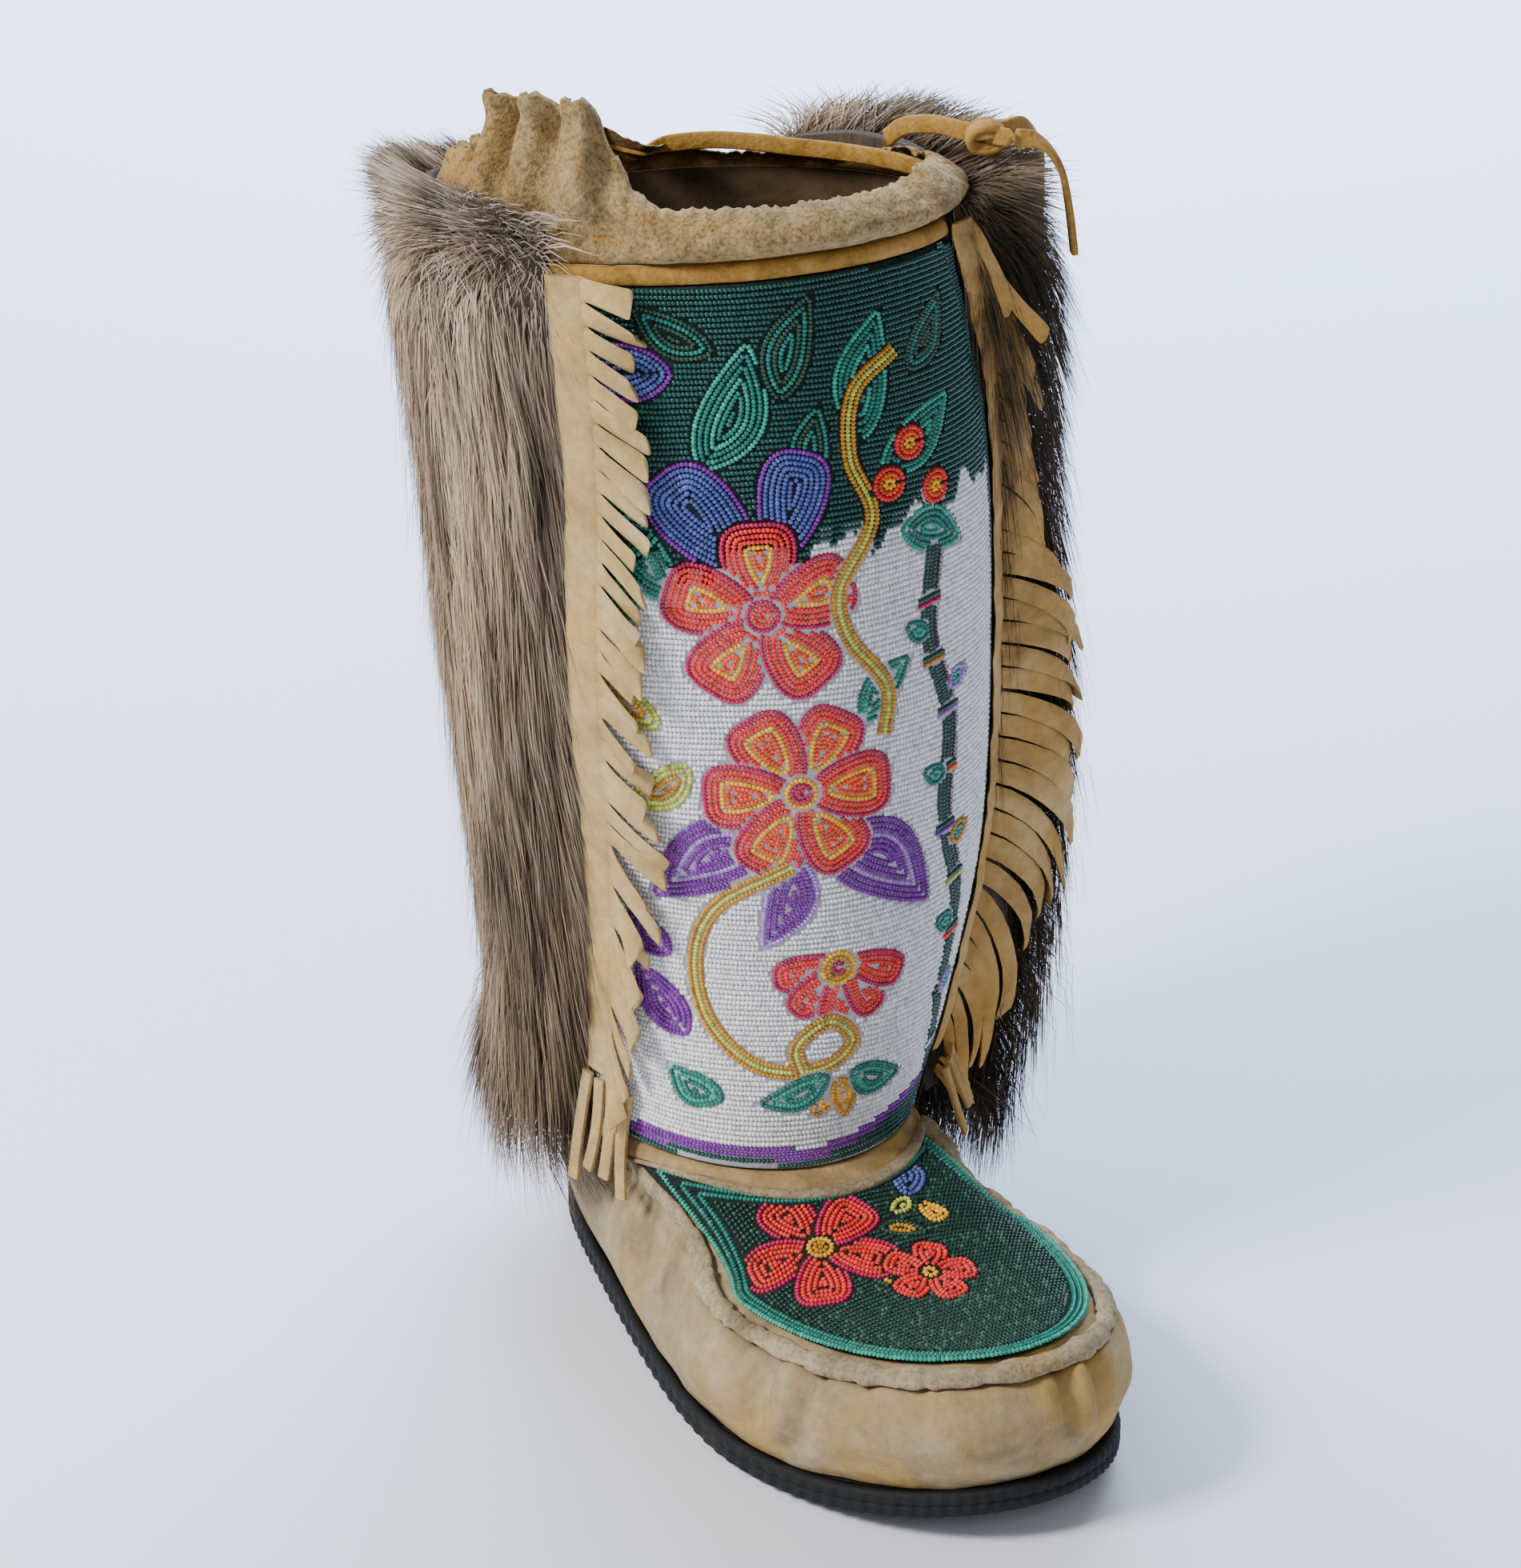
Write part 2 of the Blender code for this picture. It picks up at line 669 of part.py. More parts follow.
def sweep(name, centres, normals, profile, width, height, material, closed=False):
    """Carries a profile along a path. Its first number runs across the path, and its second along the normal."""
    rows = []
    count = len(centres)
    for i, (centre, normal) in enumerate(zip(centres, normals)):
        if closed:
            run = centres[(i + 1) % count] - centres[i - 1]
        else:
            run = centres[min(i + 1, count - 1)] - centres[max(i - 1, 0)]
        across = run.cross(normal).normalized()
        up = across.cross(run).normalized()
        rows.append([centre + across * (a * width) + up * (b * height) for a, b in profile])
    size = len(profile)
    points = [p for row in rows for p in row]
    faces = grid_faces(count, size, wrap=True)
    if closed:
        points += rows[0]
        faces += grid_faces(2, size, start=(count - 1) * size, wrap=True)
    else:
        faces.append(tuple(range(size)))
        faces.append(tuple(range((count - 1) * size, count * size)))
    return add_object(name, points, faces, material)


# Fringes
def table_value(table, key, place, column):
    """A column of a table at a place between two rows."""
    rows = list(table)
    place = min(max(place, getattr(rows[0], key)), getattr(rows[-1], key))
    for a, b in zip(rows, rows[1:]):
        if place <= getattr(b, key):
            f = (place - getattr(a, key)) / (getattr(b, key) - getattr(a, key))
            return mix(getattr(a, column), getattr(b, column), smooth(f))
    return getattr(rows[-1], column)


def round_leg(share, level, run, offset):
    """A point that lies a run of metres round the leg from the panel's edge, off the hide by an offset."""
    angle = edge_angle(level, share)
    angle += math.radians(run / arc_per_degree(angle, level))
    return hide(angle, level, offset), skin_normal(angle, level)


def drop_level(share, level, drop):
    angle = edge_angle(level, share)
    return level_at_height(angle, skin_point(angle, level).z - drop)


class Sheet:
    """Points of a sheet near the hide, each with the normal that its thickness follows."""

    def __init__(self, share):
        self.share = share
        self.points = []
        self.normals = []

    def add_point(self, point, normal):
        self.points.append(point)
        self.normals.append(normal)
        return len(self.points) - 1

    def add(self, run, level, offset):
        point, normal = round_leg(self.share, level, run, offset)
        return self.add_point(point, normal)


def make_fringe(name, share, fringe, bunch, material):
    """A band down the panel's edge with slanting strips cut into it, and a bunch of strips at its foot."""
    sheet = Sheet(share)
    faces = []
    top = FRINGE_TOP_LEVEL
    foot = FRINGE_FOOT_LEVEL
    angle = edge_angle(top, share)
    length = skin_point(angle, top).z - skin_point(edge_angle(foot, share), foot).z
    count = int(length / FRINGE_PITCH)
    slit = FRINGE_SLIT / length

    def level_at(place):
        return drop_level(share, top, place * length)

    last_pair = None
    for i in range(count):
        sides = []
        for place in (i / count + slit / 2, (i + 1) / count - slit / 2):
            level = level_at(place)
            run = table_value(fringe.table, "share", place, "run") * fringe.run
            drop = table_value(fringe.table, "share", place, "drop") * fringe.drop
            lift = table_value(fringe.table, "share", place, "lift") * fringe.lift
            side = [sheet.add(0.0, level, fringe.band_lift), sheet.add(FRINGE_BAND, level, fringe.edge_lift)]
            for f in (0.5, 1.0):
                place_run = FRINGE_BAND + run * f
                place_lift = mix(fringe.edge_lift, lift, math.sin(f * math.pi / 2))
                side.append(sheet.add(place_run, drop_level(share, level, drop * f ** 1.2), place_lift))
            sides.append(side)
        upper_side, lower_side = sides
        for k in range(len(upper_side) - 1):
            faces.append((upper_side[k], upper_side[k + 1], lower_side[k + 1], lower_side[k]))
        if last_pair:
            faces.append((last_pair[0], last_pair[1], upper_side[1], upper_side[0]))
        last_pair = (lower_side[0], lower_side[1])
    add_bunch(sheet, faces, last_pair, foot, bunch)
    return sheet_solid(name, sheet.points, sheet.normals, faces, FRINGE_THICKNESS, material)


def add_bunch(sheet, faces, last_pair, foot, bunch):
    """Strips that hang side by side from a widened foot of the band."""
    level_top = drop_level(sheet.share, foot, BUNCH_TOP_DROP)
    level_low = drop_level(sheet.share, foot, BUNCH_TOP_DROP + BUNCH_BAND)
    step = BUNCH_STRIP + BUNCH_GAP
    lift = bunch.lift * BUNCH_STRIP
    rise = bunch.rise * BUNCH_STRIP
    spread = bunch.spread * BUNCH_STRIP
    upper_row = []
    lower_row = []
    for i in range(bunch.strips):
        for run in (i * step, i * step + BUNCH_STRIP):
            run += bunch.start
            upper_row.append(sheet.add(run, level_top, lift))
            lower_row.append(sheet.add(run, level_low, lift))
    for a in range(len(upper_row) - 1):
        faces.append((upper_row[a], upper_row[a + 1], lower_row[a + 1], lower_row[a]))
    faces.append((last_pair[0], last_pair[1], upper_row[1], upper_row[0]))
    for i in range(bunch.strips):
        left = lower_row[2 * i]
        right = lower_row[2 * i + 1]
        drop = bunch.drop * (1 - 0.12 * ((i * 2) % 3))
        side = i - (bunch.strips - 1) / 2
        corners = (left, right)
        for f in (0.5, 1.0):
            pair = []
            for corner, narrow in zip((lower_row[2 * i], lower_row[2 * i + 1]), (0.08, -0.08)):
                base, normal = sheet.points[corner], sheet.normals[corner]
                out = Vector((normal.x, normal.y, 0)).normalized()
                along = Vector((0, 0, 1)).cross(out)
                move = out * (rise * f) + along * ((side * spread + narrow * BUNCH_STRIP) * f)
                move.z = -drop * f
                pair.append(sheet.add_point(base + move, out))
            faces.append((corners[0], corners[1], pair[1], pair[0]))
            corners = pair


# Fur
def fur_columns():
    """Places round the back, counted in metres from the inner fringe and from the outer one."""
    return [i / FUR_COLUMNS for i in range(FUR_COLUMNS + 1)]


def fur_angle(level, share):
    start = edge_angle(level, 1.0)
    clear = FUR_EDGE_CLEAR + FUR_HEM_CLEAR * (1 - smooth((level - LEVEL["rise"]) / 2.5))
    start += math.radians((FRINGE_BAND + clear) / arc_per_degree(start, level))
    end = edge_angle(level, 0.0) + math.radians(360)
    end -= math.radians(clear / arc_per_degree(end, level))
    return mix(start, end, share)


def fur_depth(column, row, level):
    """The thickness of the fur: thin at its edges and hem, with staggered locks that overlap like shingles."""
    share = column / FUR_COLUMNS
    edge = min(share, 1 - share) * FUR_ROUND_BACK
    body = mix(FUR_EDGE_DEPTH, FUR_DEPTH, smooth(edge / FUR_EDGE_RUN) ** 0.7)
    hem = smooth((level - FUR_HEM_LEVEL) / 1.2)
    low = 1 - smooth((level - LEVEL["ankle"]) / 3.5)
    body *= mix(0.55, 1.0, hem) * (1 + FUR_LOW_SPREAD * low)
    band = row // 3
    wave = 0.5 + 0.5 * math.cos(2 * math.pi * (column + 2 * (band % 2)) / 4)
    shingle = 0.35 + 0.65 * (1 - (row % 3) / 3)
    relief = FUR_LOCK_RELIEF * min(1.0, edge / FUR_EDGE_RUN) * mix(0.5, 1.0, hem)
    return body + relief * wave * shingle


def make_fur(material):
    top = float(LEVEL["top"])
    levels = [FUR_HEM_LEVEL, 7.2, 7.8, 8.4] + ring_levels(9.0, top, 3)[:-1] + [top - 0.02]
    rises = (0.35, 0.75, 1.0)
    outer = []
    inner = []
    for row, level in enumerate(levels):
        outer_row = []
        inner_row = []
        gap = mix(FUR_HEM_GAP, FUR_GAP, smooth(level - LEVEL["bend"]))
        for column, share in enumerate(fur_columns()):
            here = level
            if row < 4:
                here += FUR_HEM_RAISE * (1 - row / 4) * (1 - smooth(share / 0.14))
            angle = fur_angle(here, share)
            if row == 0:
                tuft = FUR_TUFT * (0.5 + 0.5 * math.cos(math.pi * column))
                here = level_at_height(angle, skin_point(angle, here).z - tuft)
            outer_row.append(hide(angle, here, gap + fur_depth(column, row, level)))
            inner_row.append(hide(angle, here, gap))
        outer.append(outer_row)
        inner.append(inner_row)
    for k, rise in enumerate(rises):
        outer_row = []
        inner_row = []
        for column, share in enumerate(fur_columns()):
            angle = fur_angle(top, share)
            tuft = FUR_TUFT * (0.5 + 0.5 * math.cos(math.pi * column)) * rise
            top_rise = table_value(FUR_TOP, "share", share, "rise") * FUR_TOP_RISE
            height = skin_point(angle, top).z + top_rise * rise + tuft
            here = level_at_height(angle, height)
            depth = fur_depth(column, len(levels) + k, top)
            clear = mix(FUR_GAP, FUR_TOP_CLEAR, smooth(rise * 1.6))
            far = max(clear + FUR_EDGE_DEPTH * 0.7, depth * (1 - 0.35 * rise * rise))
            outer_row.append(hide(angle, here, far))
            inner_row.append(hide(angle, here, clear))
        outer.append(outer_row)
        inner.append(inner_row)
    return patch_shell("fur_wrap", outer, inner, material)


# Collar, drawstring and tie
def over_leg(degrees, rise, offset):
    """A point above the leg's top edge: by angle from the toe, height above the edge and distance off the hide."""
    angle = math.radians(degrees)
    edge = skin_point(angle, LEVEL["top"]).z
    return hide(angle, level_at_height(angle, edge + rise), offset)


def make_collar(material):
    outer = []
    inner = []
    for share in (0.0, 0.35, 0.7, 1.0):
        outer_row = []
        inner_row = []
        for c in range(COLLAR_COLUMNS):
            degrees = 360 * c / COLLAR_COLUMNS - 180
            rise_share = table_value(COLLAR_STEPS, "angle", degrees, "rise")
            rise = rise_share * COLLAR_RISE
            wave = math.sin(math.radians(degrees) * COLLAR_FOLDS + 0.8)
            tall = min(1.0, rise_share / 0.7)
            ripple = COLLAR_RIPPLE * share ** 1.4 * wave * tall
            offset = COLLAR_BULGE * math.sin(math.pi * share) + ripple
            offset -= mix(COLLAR_DRAW_IN, COLLAR_LEAN_IN, smooth(rise_share * 0.93)) * share * share
            height = GAP + share * rise * (1 + 0.08 * wave)
            outer_row.append(over_leg(degrees, height, offset))
            inner_row.append(over_leg(degrees, height, offset - COLLAR_WALL))
        outer.append(outer_row)
        inner.append(inner_row)
    return tube_shell("collar", outer, inner, material)


def make_drawstring(material):
    rows = []
    corners = ((-0.5, 0.0), (0.5, 0.0), (0.5, 1.0), (-0.5, 1.0))
    for up, deep in corners:
        row = []
        for c in range(STRING_COLUMNS):
            degrees = 360 * c / STRING_COLUMNS - 180
            rise = table_value(COLLAR_STEPS, "angle", degrees, "string") * COLLAR_STRING_RISE
            offset = -STRING_INSET - deep * THONG_THICKNESS
            row.append(over_leg(degrees, rise + up * THONG_WIDTH, offset))
        rows.append(row)
    points = [p for row in rows + rows[:1] for p in row]
    return add_object("drawstring", points, grid_faces(5, STRING_COLUMNS, wrap=True), material)


def make_knot(material):
    centre = over_leg(KNOT_ANGLE, KNOT_RISE, KNOT_OFF)
    out = skin_normal(math.radians(KNOT_ANGLE), LEVEL["top"])
    along = Vector((0, 0, 1)).cross(out).normalized()
    up = out.cross(along)
    points = []
    stacks = 7
    slices = 12
    rows = []
    for i in range(1, stacks):
        tilt = math.pi * i / stacks
        row = []
        for j in range(slices):
            turn = 2 * math.pi * j / slices
            radius = KNOT_RADIUS * (1 + 0.14 * math.cos(3 * turn + 2 * tilt))
            p = along * math.cos(tilt) * 1.15
            p += out * math.sin(tilt) * math.cos(turn) + up * math.sin(tilt) * math.sin(turn) * 0.8
            row.append(centre + p * radius)
        rows.append(row)
    points = [p for row in rows for p in row]
    faces = grid_faces(len(rows), slices, wrap=True)
    ends = (centre + along * KNOT_RADIUS * 1.15, centre - along * KNOT_RADIUS * 1.15)
    for end, base in zip(ends, (0, (len(rows) - 1) * slices)):
        points.append(end)
        for j in range(slices):
            faces.append((base + j, base + (j + 1) % slices, len(points) - 1))
    return add_object("tie_knot", points, faces, material)


def make_thong(name, table, material):
    centres = [over_leg(step.angle, step.rise, step.off) for step in table]
    normals = []
    for i, step in enumerate(table):
        ahead = centres[min(i + 1, len(centres) - 1)]
        behind = centres[max(i - 1, 0)]
        run = (ahead - behind).normalized()
        flat = skin_normal(math.radians(step.angle), LEVEL["top"]).cross(Vector((0, 0, 1)))
        normals.append(flat.cross(run).normalized())
    profile = ((-0.5, 0.0), (-0.42, 0.5), (0.42, 0.5), (0.5, 0.0), (0.42, -0.5), (-0.42, -0.5))
    return sweep(name, centres, normals, profile, THONG_WIDTH, THONG_THICKNESS, material)


# Start
def clear_scene():
    for existing in list(bpy.data.objects):
        bpy.data.objects.remove(existing, do_unlink=True)


clear_scene()
RUBBER = colour_material("black_rubber", (0.035, 0.038, 0.04), 0.75)
FELT = colour_material("insole_felt", (0.42, 0.36, 0.28), 0.95)
HIDE = colour_material("smoked_hide", (0.62, 0.47, 0.28), 0.9)
PALE_HIDE = colour_material("fringe_hide", (0.70, 0.56, 0.36), 0.9)
THONG = colour_material("thong_hide", (0.72, 0.52, 0.22), 0.7)
colour_material("white_beads", (0.85, 0.86, 0.87), 0.3)
colour_material("green_beads", (0.03, 0.16, 0.13), 0.3)
FUR = colour_material("brown_fur", (0.36, 0.29, 0.22), 0.9)

make_outsole(RUBBER)
make_insole(FELT)
make_upper(HIDE)
for layer in LAYERS:
    front_layer(layer)
make_seam_welt(HIDE)
make_fringe("fringe_lateral", 0.0, OUTER, OUTER_BUNCH, PALE_HIDE)
make_fringe("fringe_medial", 1.0, INNER, INNER_BUNCH, PALE_HIDE)
make_fur(FUR)
make_collar(HIDE)
make_drawstring(THONG)
make_knot(THONG)
make_thong("tie_loop", TIE_LOOP, THONG)
make_thong("tie_end_front", TIE_END_FRONT, THONG)
make_thong("tie_end_back", TIE_END_BACK, THONG)
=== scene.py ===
import math

import bpy
import numpy as np
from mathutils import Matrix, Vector
from mathutils.bvhtree import BVHTree


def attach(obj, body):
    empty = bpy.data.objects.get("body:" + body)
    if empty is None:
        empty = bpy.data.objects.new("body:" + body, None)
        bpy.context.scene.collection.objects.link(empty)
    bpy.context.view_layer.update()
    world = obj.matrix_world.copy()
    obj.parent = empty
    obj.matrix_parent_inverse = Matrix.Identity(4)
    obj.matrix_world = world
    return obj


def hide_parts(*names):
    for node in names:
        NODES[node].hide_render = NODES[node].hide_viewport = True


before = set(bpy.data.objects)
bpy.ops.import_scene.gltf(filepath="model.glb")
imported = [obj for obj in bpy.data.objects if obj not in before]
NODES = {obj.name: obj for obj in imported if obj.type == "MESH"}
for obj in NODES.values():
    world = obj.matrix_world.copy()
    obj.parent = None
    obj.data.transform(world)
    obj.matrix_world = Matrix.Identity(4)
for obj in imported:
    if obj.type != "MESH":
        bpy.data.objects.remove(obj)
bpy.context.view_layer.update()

# Sizes of the shoe, as in the part's own source where that has them
FOOT_LENGTH = 0.262
BALL_WIDTH = 0.124
HEEL_WIDTH = 0.086
HEEL_REACH = 0.040
INSTEP_HEIGHT = 0.058
TOE_SWING = 0.011
ARCH_DEPTH = 0.004
HEEL_SQUARENESS = 1.1
LEG_HEIGHT = 0.358
LEG_WIDTH = 0.150
LEG_DEPTH = 0.142
LEG_CENTRE_REACH = 0.078
LEG_LEAN = 0.010
LEG_BACK_DROP = 0.012
HIDE_WALL = 0.0020
GAP = 0.0004
BEAD_LAYER = 0.0026
PANEL_LIFT = 0.0007
SOLE_THICKNESS = 0.0095
SOLE_INSET = 0.0012
TOE_SPRING = 0.0110
SPRING_START = 0.66
UNDER_MARGIN = 0.0120
FUR_GAP = 0.0006
FUR_GIRTH = 0.34
FUR_DEPTH = 0.0190
FUR_EDGE_DEPTH = 0.0045
FUR_EDGE_RUN = 0.0300
FUR_BUSHY_DEPTH = 0.0270
FUR_REACH = 0.1180
FUR_REACH_SPARE = 0.0130
FUR_BUSHY_RUN = 0.0300
FUR_HEM_LEVEL = 6.60
FUR_MIDDLE_LEVEL = 11.0
FUR_HEM_RAISE = 1.00
FUR_EDGE_CLEAR = 0.0010
FUR_HEM_CLEAR = 0.0050
FUR_LOW_SPREAD = 0.35
FRINGE_BAND = 0.0075
FRINGE_SOLID = 0.0105
FRINGE_THICKNESS = 0.0018
BUNCH_STRIP = 0.0048
COLLAR_WALL = 0.0020
COLLAR_BULGE = 0.0022
COLLAR_DRAW_IN = 0.0030
COLLAR_LEAN_IN = 0.0150
THONG_WIDTH = 0.0072
THONG_THICKNESS = 0.0022
STRING_WIDTH = 0.0056
STRING_INSET = 0.0074
KNOT_RADIUS = 0.0062
KNOT_ANGLE = 68
KNOT_RISE = 0.0180
KNOT_OFF = 0.0115

# Rings of the foot: front and back reach and height, heel, ball, bluntness, swing, panel's two edge angles
FOOT_RINGS = (
    (0.982, 0.00, 0.014, 0.00, 0.92, 0.955, 2.9, 1.00, -78, 78),
    (0.997, 0.12, 0.002, 0.12, 0.98, 1.005, 2.9, 1.00, -78, 78),
    (1.000, 0.30, 0.000, 0.30, 1.00, 1.030, 2.9, 1.00, -78, 78),
    (0.972, 0.60, 0.004, 0.62, 0.94, 0.885, 3.2, 1.00, -76, 76),
    (0.900, 0.655, 0.008, 0.72, 0.97, 0.780, 3.0, 0.95, -75, 72),
    (0.800, 0.71, 0.013, 0.84, 0.98, 0.735, 2.8, 0.80, -75, 66),
    (0.700, 0.79, 0.020, 0.96, 1.01, 0.750, 2.6, 0.60, -76, 58),
    (0.612, 0.88, 0.027, 1.08, 1.05, 0.790, 2.4, 0.35, -78, 50),
    (0.552, 1.02, 0.032, 1.22, 1.10, 0.830, 2.2, 0.15, -80, 42),
)
# Rings of the leg: height, front, back, width, lean, slope, and the panel's two edge angles
LEG_RINGS = (
    (0.300, 0.950, 0.900, 0.770, 0.70, 0.0, -82, 50),
    (0.440, 0.940, 0.910, 0.900, 1.00, 0.0, -74, 58),
    (0.640, 0.950, 0.960, 0.985, 0.60, 0.1, -68, 60),
    (0.820, 0.960, 1.010, 1.010, 0.10, 0.5, -62, 55),
    (1.000, 0.970, 1.040, 1.000, -0.80, 1.0, -59, 41),
    (1.140, 0.980, 1.050, 1.010, -1.10, 1.0, -58, 40),
)
SEAM, BEND, ANKLE, TOP = 3, 8, 9, 13
SOLE_TOP = SOLE_THICKNESS

# Collar's edge and drawstring: angle from the toe, rise of the edge, rise of the string
COLLAR_STEPS = (
    (-180, 0.0140, 0.0090),
    (-150, 0.0180, 0.0085),
    (-115, 0.0220, 0.0080),
    (-92, 0.0290, 0.0075),
    (-72, 0.0420, 0.0070),
    (-54, 0.0390, 0.0065),
    (-32, 0.0135, 0.0060),
    (0, 0.0120, 0.0055),
    (45, 0.0130, 0.0060),
    (85, 0.0105, 0.0075),
    (120, 0.0050, 0.0095),
    (148, 0.0045, 0.0100),
    (165, 0.0090, 0.0095),
    (180, 0.0140, 0.0090),
)
# Fur's top above the leg's edge, by share of the way round from the inner fringe
FUR_TOP = (
    (0.00, 0.0020),
    (0.11, 0.0030),
    (0.17, 0.0060),
    (0.22, 0.0085),
    (0.27, 0.0095),
    (0.32, 0.0080),
    (0.37, -0.0020),
    (0.42, -0.0010),
    (0.55, 0.0060),
    (0.78, 0.0150),
    (0.93, 0.0160),
    (1.00, 0.0100),
)
# How much the hair of the fur's top stands up, by share of the way round
FUR_CREST = (
    (0.00, 0.40),
    (0.06, 0.70),
    (0.17, 0.85),
    (0.32, 0.85),
    (0.37, 0.15),
    (0.42, 0.20),
    (0.55, 0.80),
    (0.70, 0.95),
    (0.88, 1.00),
    (1.00, 0.80),
)
# Fringe strips by share of the band's length: run round the leg, drop and lift off the hide
OUTER_STRIPS = (
    (0.00, 0.0160, 0.0025, 0.0062),
    (0.06, 0.0170, 0.0080, 0.0062),
    (0.30, 0.0160, 0.0105, 0.0060),
    (0.55, 0.0165, 0.0100, 0.0062),
    (0.62, 0.0200, 0.0115, 0.0070),
    (0.80, 0.0165, 0.0150, 0.0065),
    (1.00, 0.0120, 0.0190, 0.0070),
)
INNER_STRIPS = (
    (0.00, -0.0040, 0.0300, 0.0110),
    (0.05, 0.0010, 0.0310, 0.0120),
    (0.10, 0.0090, 0.0290, 0.0130),
    (0.20, 0.0100, 0.0270, 0.0150),
    (0.38, 0.0120, 0.0250, 0.0200),
    (0.46, 0.0180, 0.0220, 0.0330),
    (0.62, 0.0200, 0.0230, 0.0370),
    (0.75, 0.0180, 0.0260, 0.0330),
    (0.90, 0.0110, 0.0300, 0.0210),
    (1.00, 0.0050, 0.0260, 0.0130),
)
# Bunch at each fringe's foot: strips, start round the leg, lift, rise, drop, spread
OUTER_BUNCH = (4, 0.0, 0.0048, 0.0050, 0.0300, 0.0012)
INNER_BUNCH = (3, -0.0070, 0.0088, 0.0070, 0.0150, 0.0012)
FRINGE_TOP_LEVEL = TOP - 0.03
FRINGE_FOOT_LEVEL = BEND + 0.55
# The thong's free pieces: angle from the toe, rise above the leg's top, distance off the hide
TIE_LOOP = (
    (92, 0.0140, -0.0085),
    (86, 0.0182, -0.0062),
    (78, 0.0195, -0.0005),
    (71, 0.0185, 0.0058),
)
TIE_END_FRONT = (
    (64, 0.0175, 0.0179),
    (65, 0.0155, 0.0270),
    (66, 0.0060, 0.0330),
    (67, -0.0080, 0.0350),
    (67, -0.0240, 0.0350),
)
TIE_END_BACK = (
    (71.5, 0.0175, 0.0170),
    (76, 0.0165, 0.0260),
    (80, 0.0080, 0.0330),
    (83, -0.0060, 0.0350),
    (86, -0.0260, 0.0350),
    (88, -0.0460, 0.0345),
)


# Camera: degrees round from the toe and up, its aim, its distance, its lens in millimetres and its shift
CAMERA_TURN = 28.5
CAMERA_RISE = 22.7
CAMERA_AIM = (0.0, -0.06, 0.20)
CAMERA_DISTANCE = 1.22
CAMERA_LENS = 92.7
CAMERA_SHIFT = -0.0434


def make_camera():
    turn = math.radians(CAMERA_TURN)
    rise = math.radians(CAMERA_RISE)
    away = Vector((-math.sin(turn) * math.cos(rise), -math.cos(turn) * math.cos(rise), math.sin(rise)))
    data = bpy.data.cameras.new("camera")
    data.sensor_width = 36
    data.lens = CAMERA_LENS
    data.shift_y = CAMERA_SHIFT
    data.clip_end = 20
    camera = bpy.data.objects.new("camera", data)
    camera.location = Vector(CAMERA_AIM) + away * CAMERA_DISTANCE
    camera.rotation_euler = (-away).to_track_quat("-Z", "Y").to_euler()
    bpy.context.scene.collection.objects.link(camera)
    bpy.context.scene.camera = camera


make_camera()


# The hide's surface, the same function as in the part's source, for whole arrays of points
def smooth(x):
    x = np.clip(x, 0.0, 1.0)
    return x * x * (3 - 2 * x)


def mix(a, b, share):
    return a + (b - a) * share


def section_table():
    rows = []
    for front, front_up, back, back_up, heel, ball, blunt, swing, outer, inner in FOOT_RINGS:
        rows.append((
            HEEL_REACH - front * FOOT_LENGTH,
            SOLE_TOP + front_up * INSTEP_HEIGHT,
            HEEL_REACH - back * FOOT_LENGTH,
            SOLE_TOP + back_up * INSTEP_HEIGHT,
            heel * HEEL_WIDTH / 2,
            ball * BALL_WIDTH / 2,
            blunt, swing, 0.0, outer, inner,
        ))
    centre = HEEL_REACH - LEG_CENTRE_REACH
    for height, front, back, width, lean, slope, outer, inner in LEG_RINGS:
        half = width * LEG_WIDTH / 2
        rows.append((
            centre - front * LEG_DEPTH / 2,
            height * LEG_HEIGHT,
            centre + back * LEG_DEPTH / 2,
            height * LEG_HEIGHT - slope * LEG_BACK_DROP,
            half, half, 2.0, 0.0, lean * LEG_LEAN, outer, inner,
        ))
    return np.array(rows)


SECTIONS = section_table()
LAST = len(SECTIONS) - 1


def section_at(level):
    level = np.clip(np.asarray(level, float), 0.0, LAST)
    i = np.minimum(level.astype(int), LAST - 1)
    f = (level - i)[..., None]
    a = SECTIONS[np.maximum(i - 1, 0)]
    b = SECTIONS[i]
    c = SECTIONS[i + 1]
    d = SECTIONS[np.minimum(i + 2, LAST)]
    h = f * f * (3 - 2 * f)
    return mix(b, c, h) + (c - a) / 2 * f * (1 - f) ** 2 - (d - b) / 2 * f * f * (1 - f)


def spring_lift(y):
    share = (HEEL_REACH - y) / FOOT_LENGTH
    run = np.maximum(0.0, share - SPRING_START) / (1 - SPRING_START)
    return TOE_SPRING * run * run


def skin(angle, level):
    """Points of the hide's outer face, for arrays of angles and levels."""
    angle, level = np.broadcast_arrays(np.asarray(angle, float), np.asarray(level, float))
    s = section_at(level)
    front_y, front_z, back_y, back_z, heel, ball, blunt, swing, lean = (s[..., k] for k in range(9))
    share = (1 + np.cos(angle)) / 2
    ball_share = smooth((share - 0.12) / 0.62)
    side = np.where(np.sin(angle) >= 0, 1.0, -1.0)
    blunt = blunt + HEEL_SQUARENESS * swing * (1 - smooth(2 * share))
    round_end = np.sqrt(np.maximum(0.0, 1 - np.abs(np.cos(angle)) ** blunt))
    half = mix(heel, ball, ball_share) * round_end
    half = half - np.where(side > 0, swing * ARCH_DEPTH * np.sin(math.pi * share) ** 4, 0.0)
    y = mix(back_y, front_y, share)
    x = side * half + lean + swing * TOE_SWING * (share - 0.35) * share
    z = mix(back_z, front_z, share) + spring_lift(y) * swing
    return np.stack([x, y, z], -1)


def unit(v):
    return v / np.maximum(np.linalg.norm(v, axis=-1, keepdims=True), 1e-12)


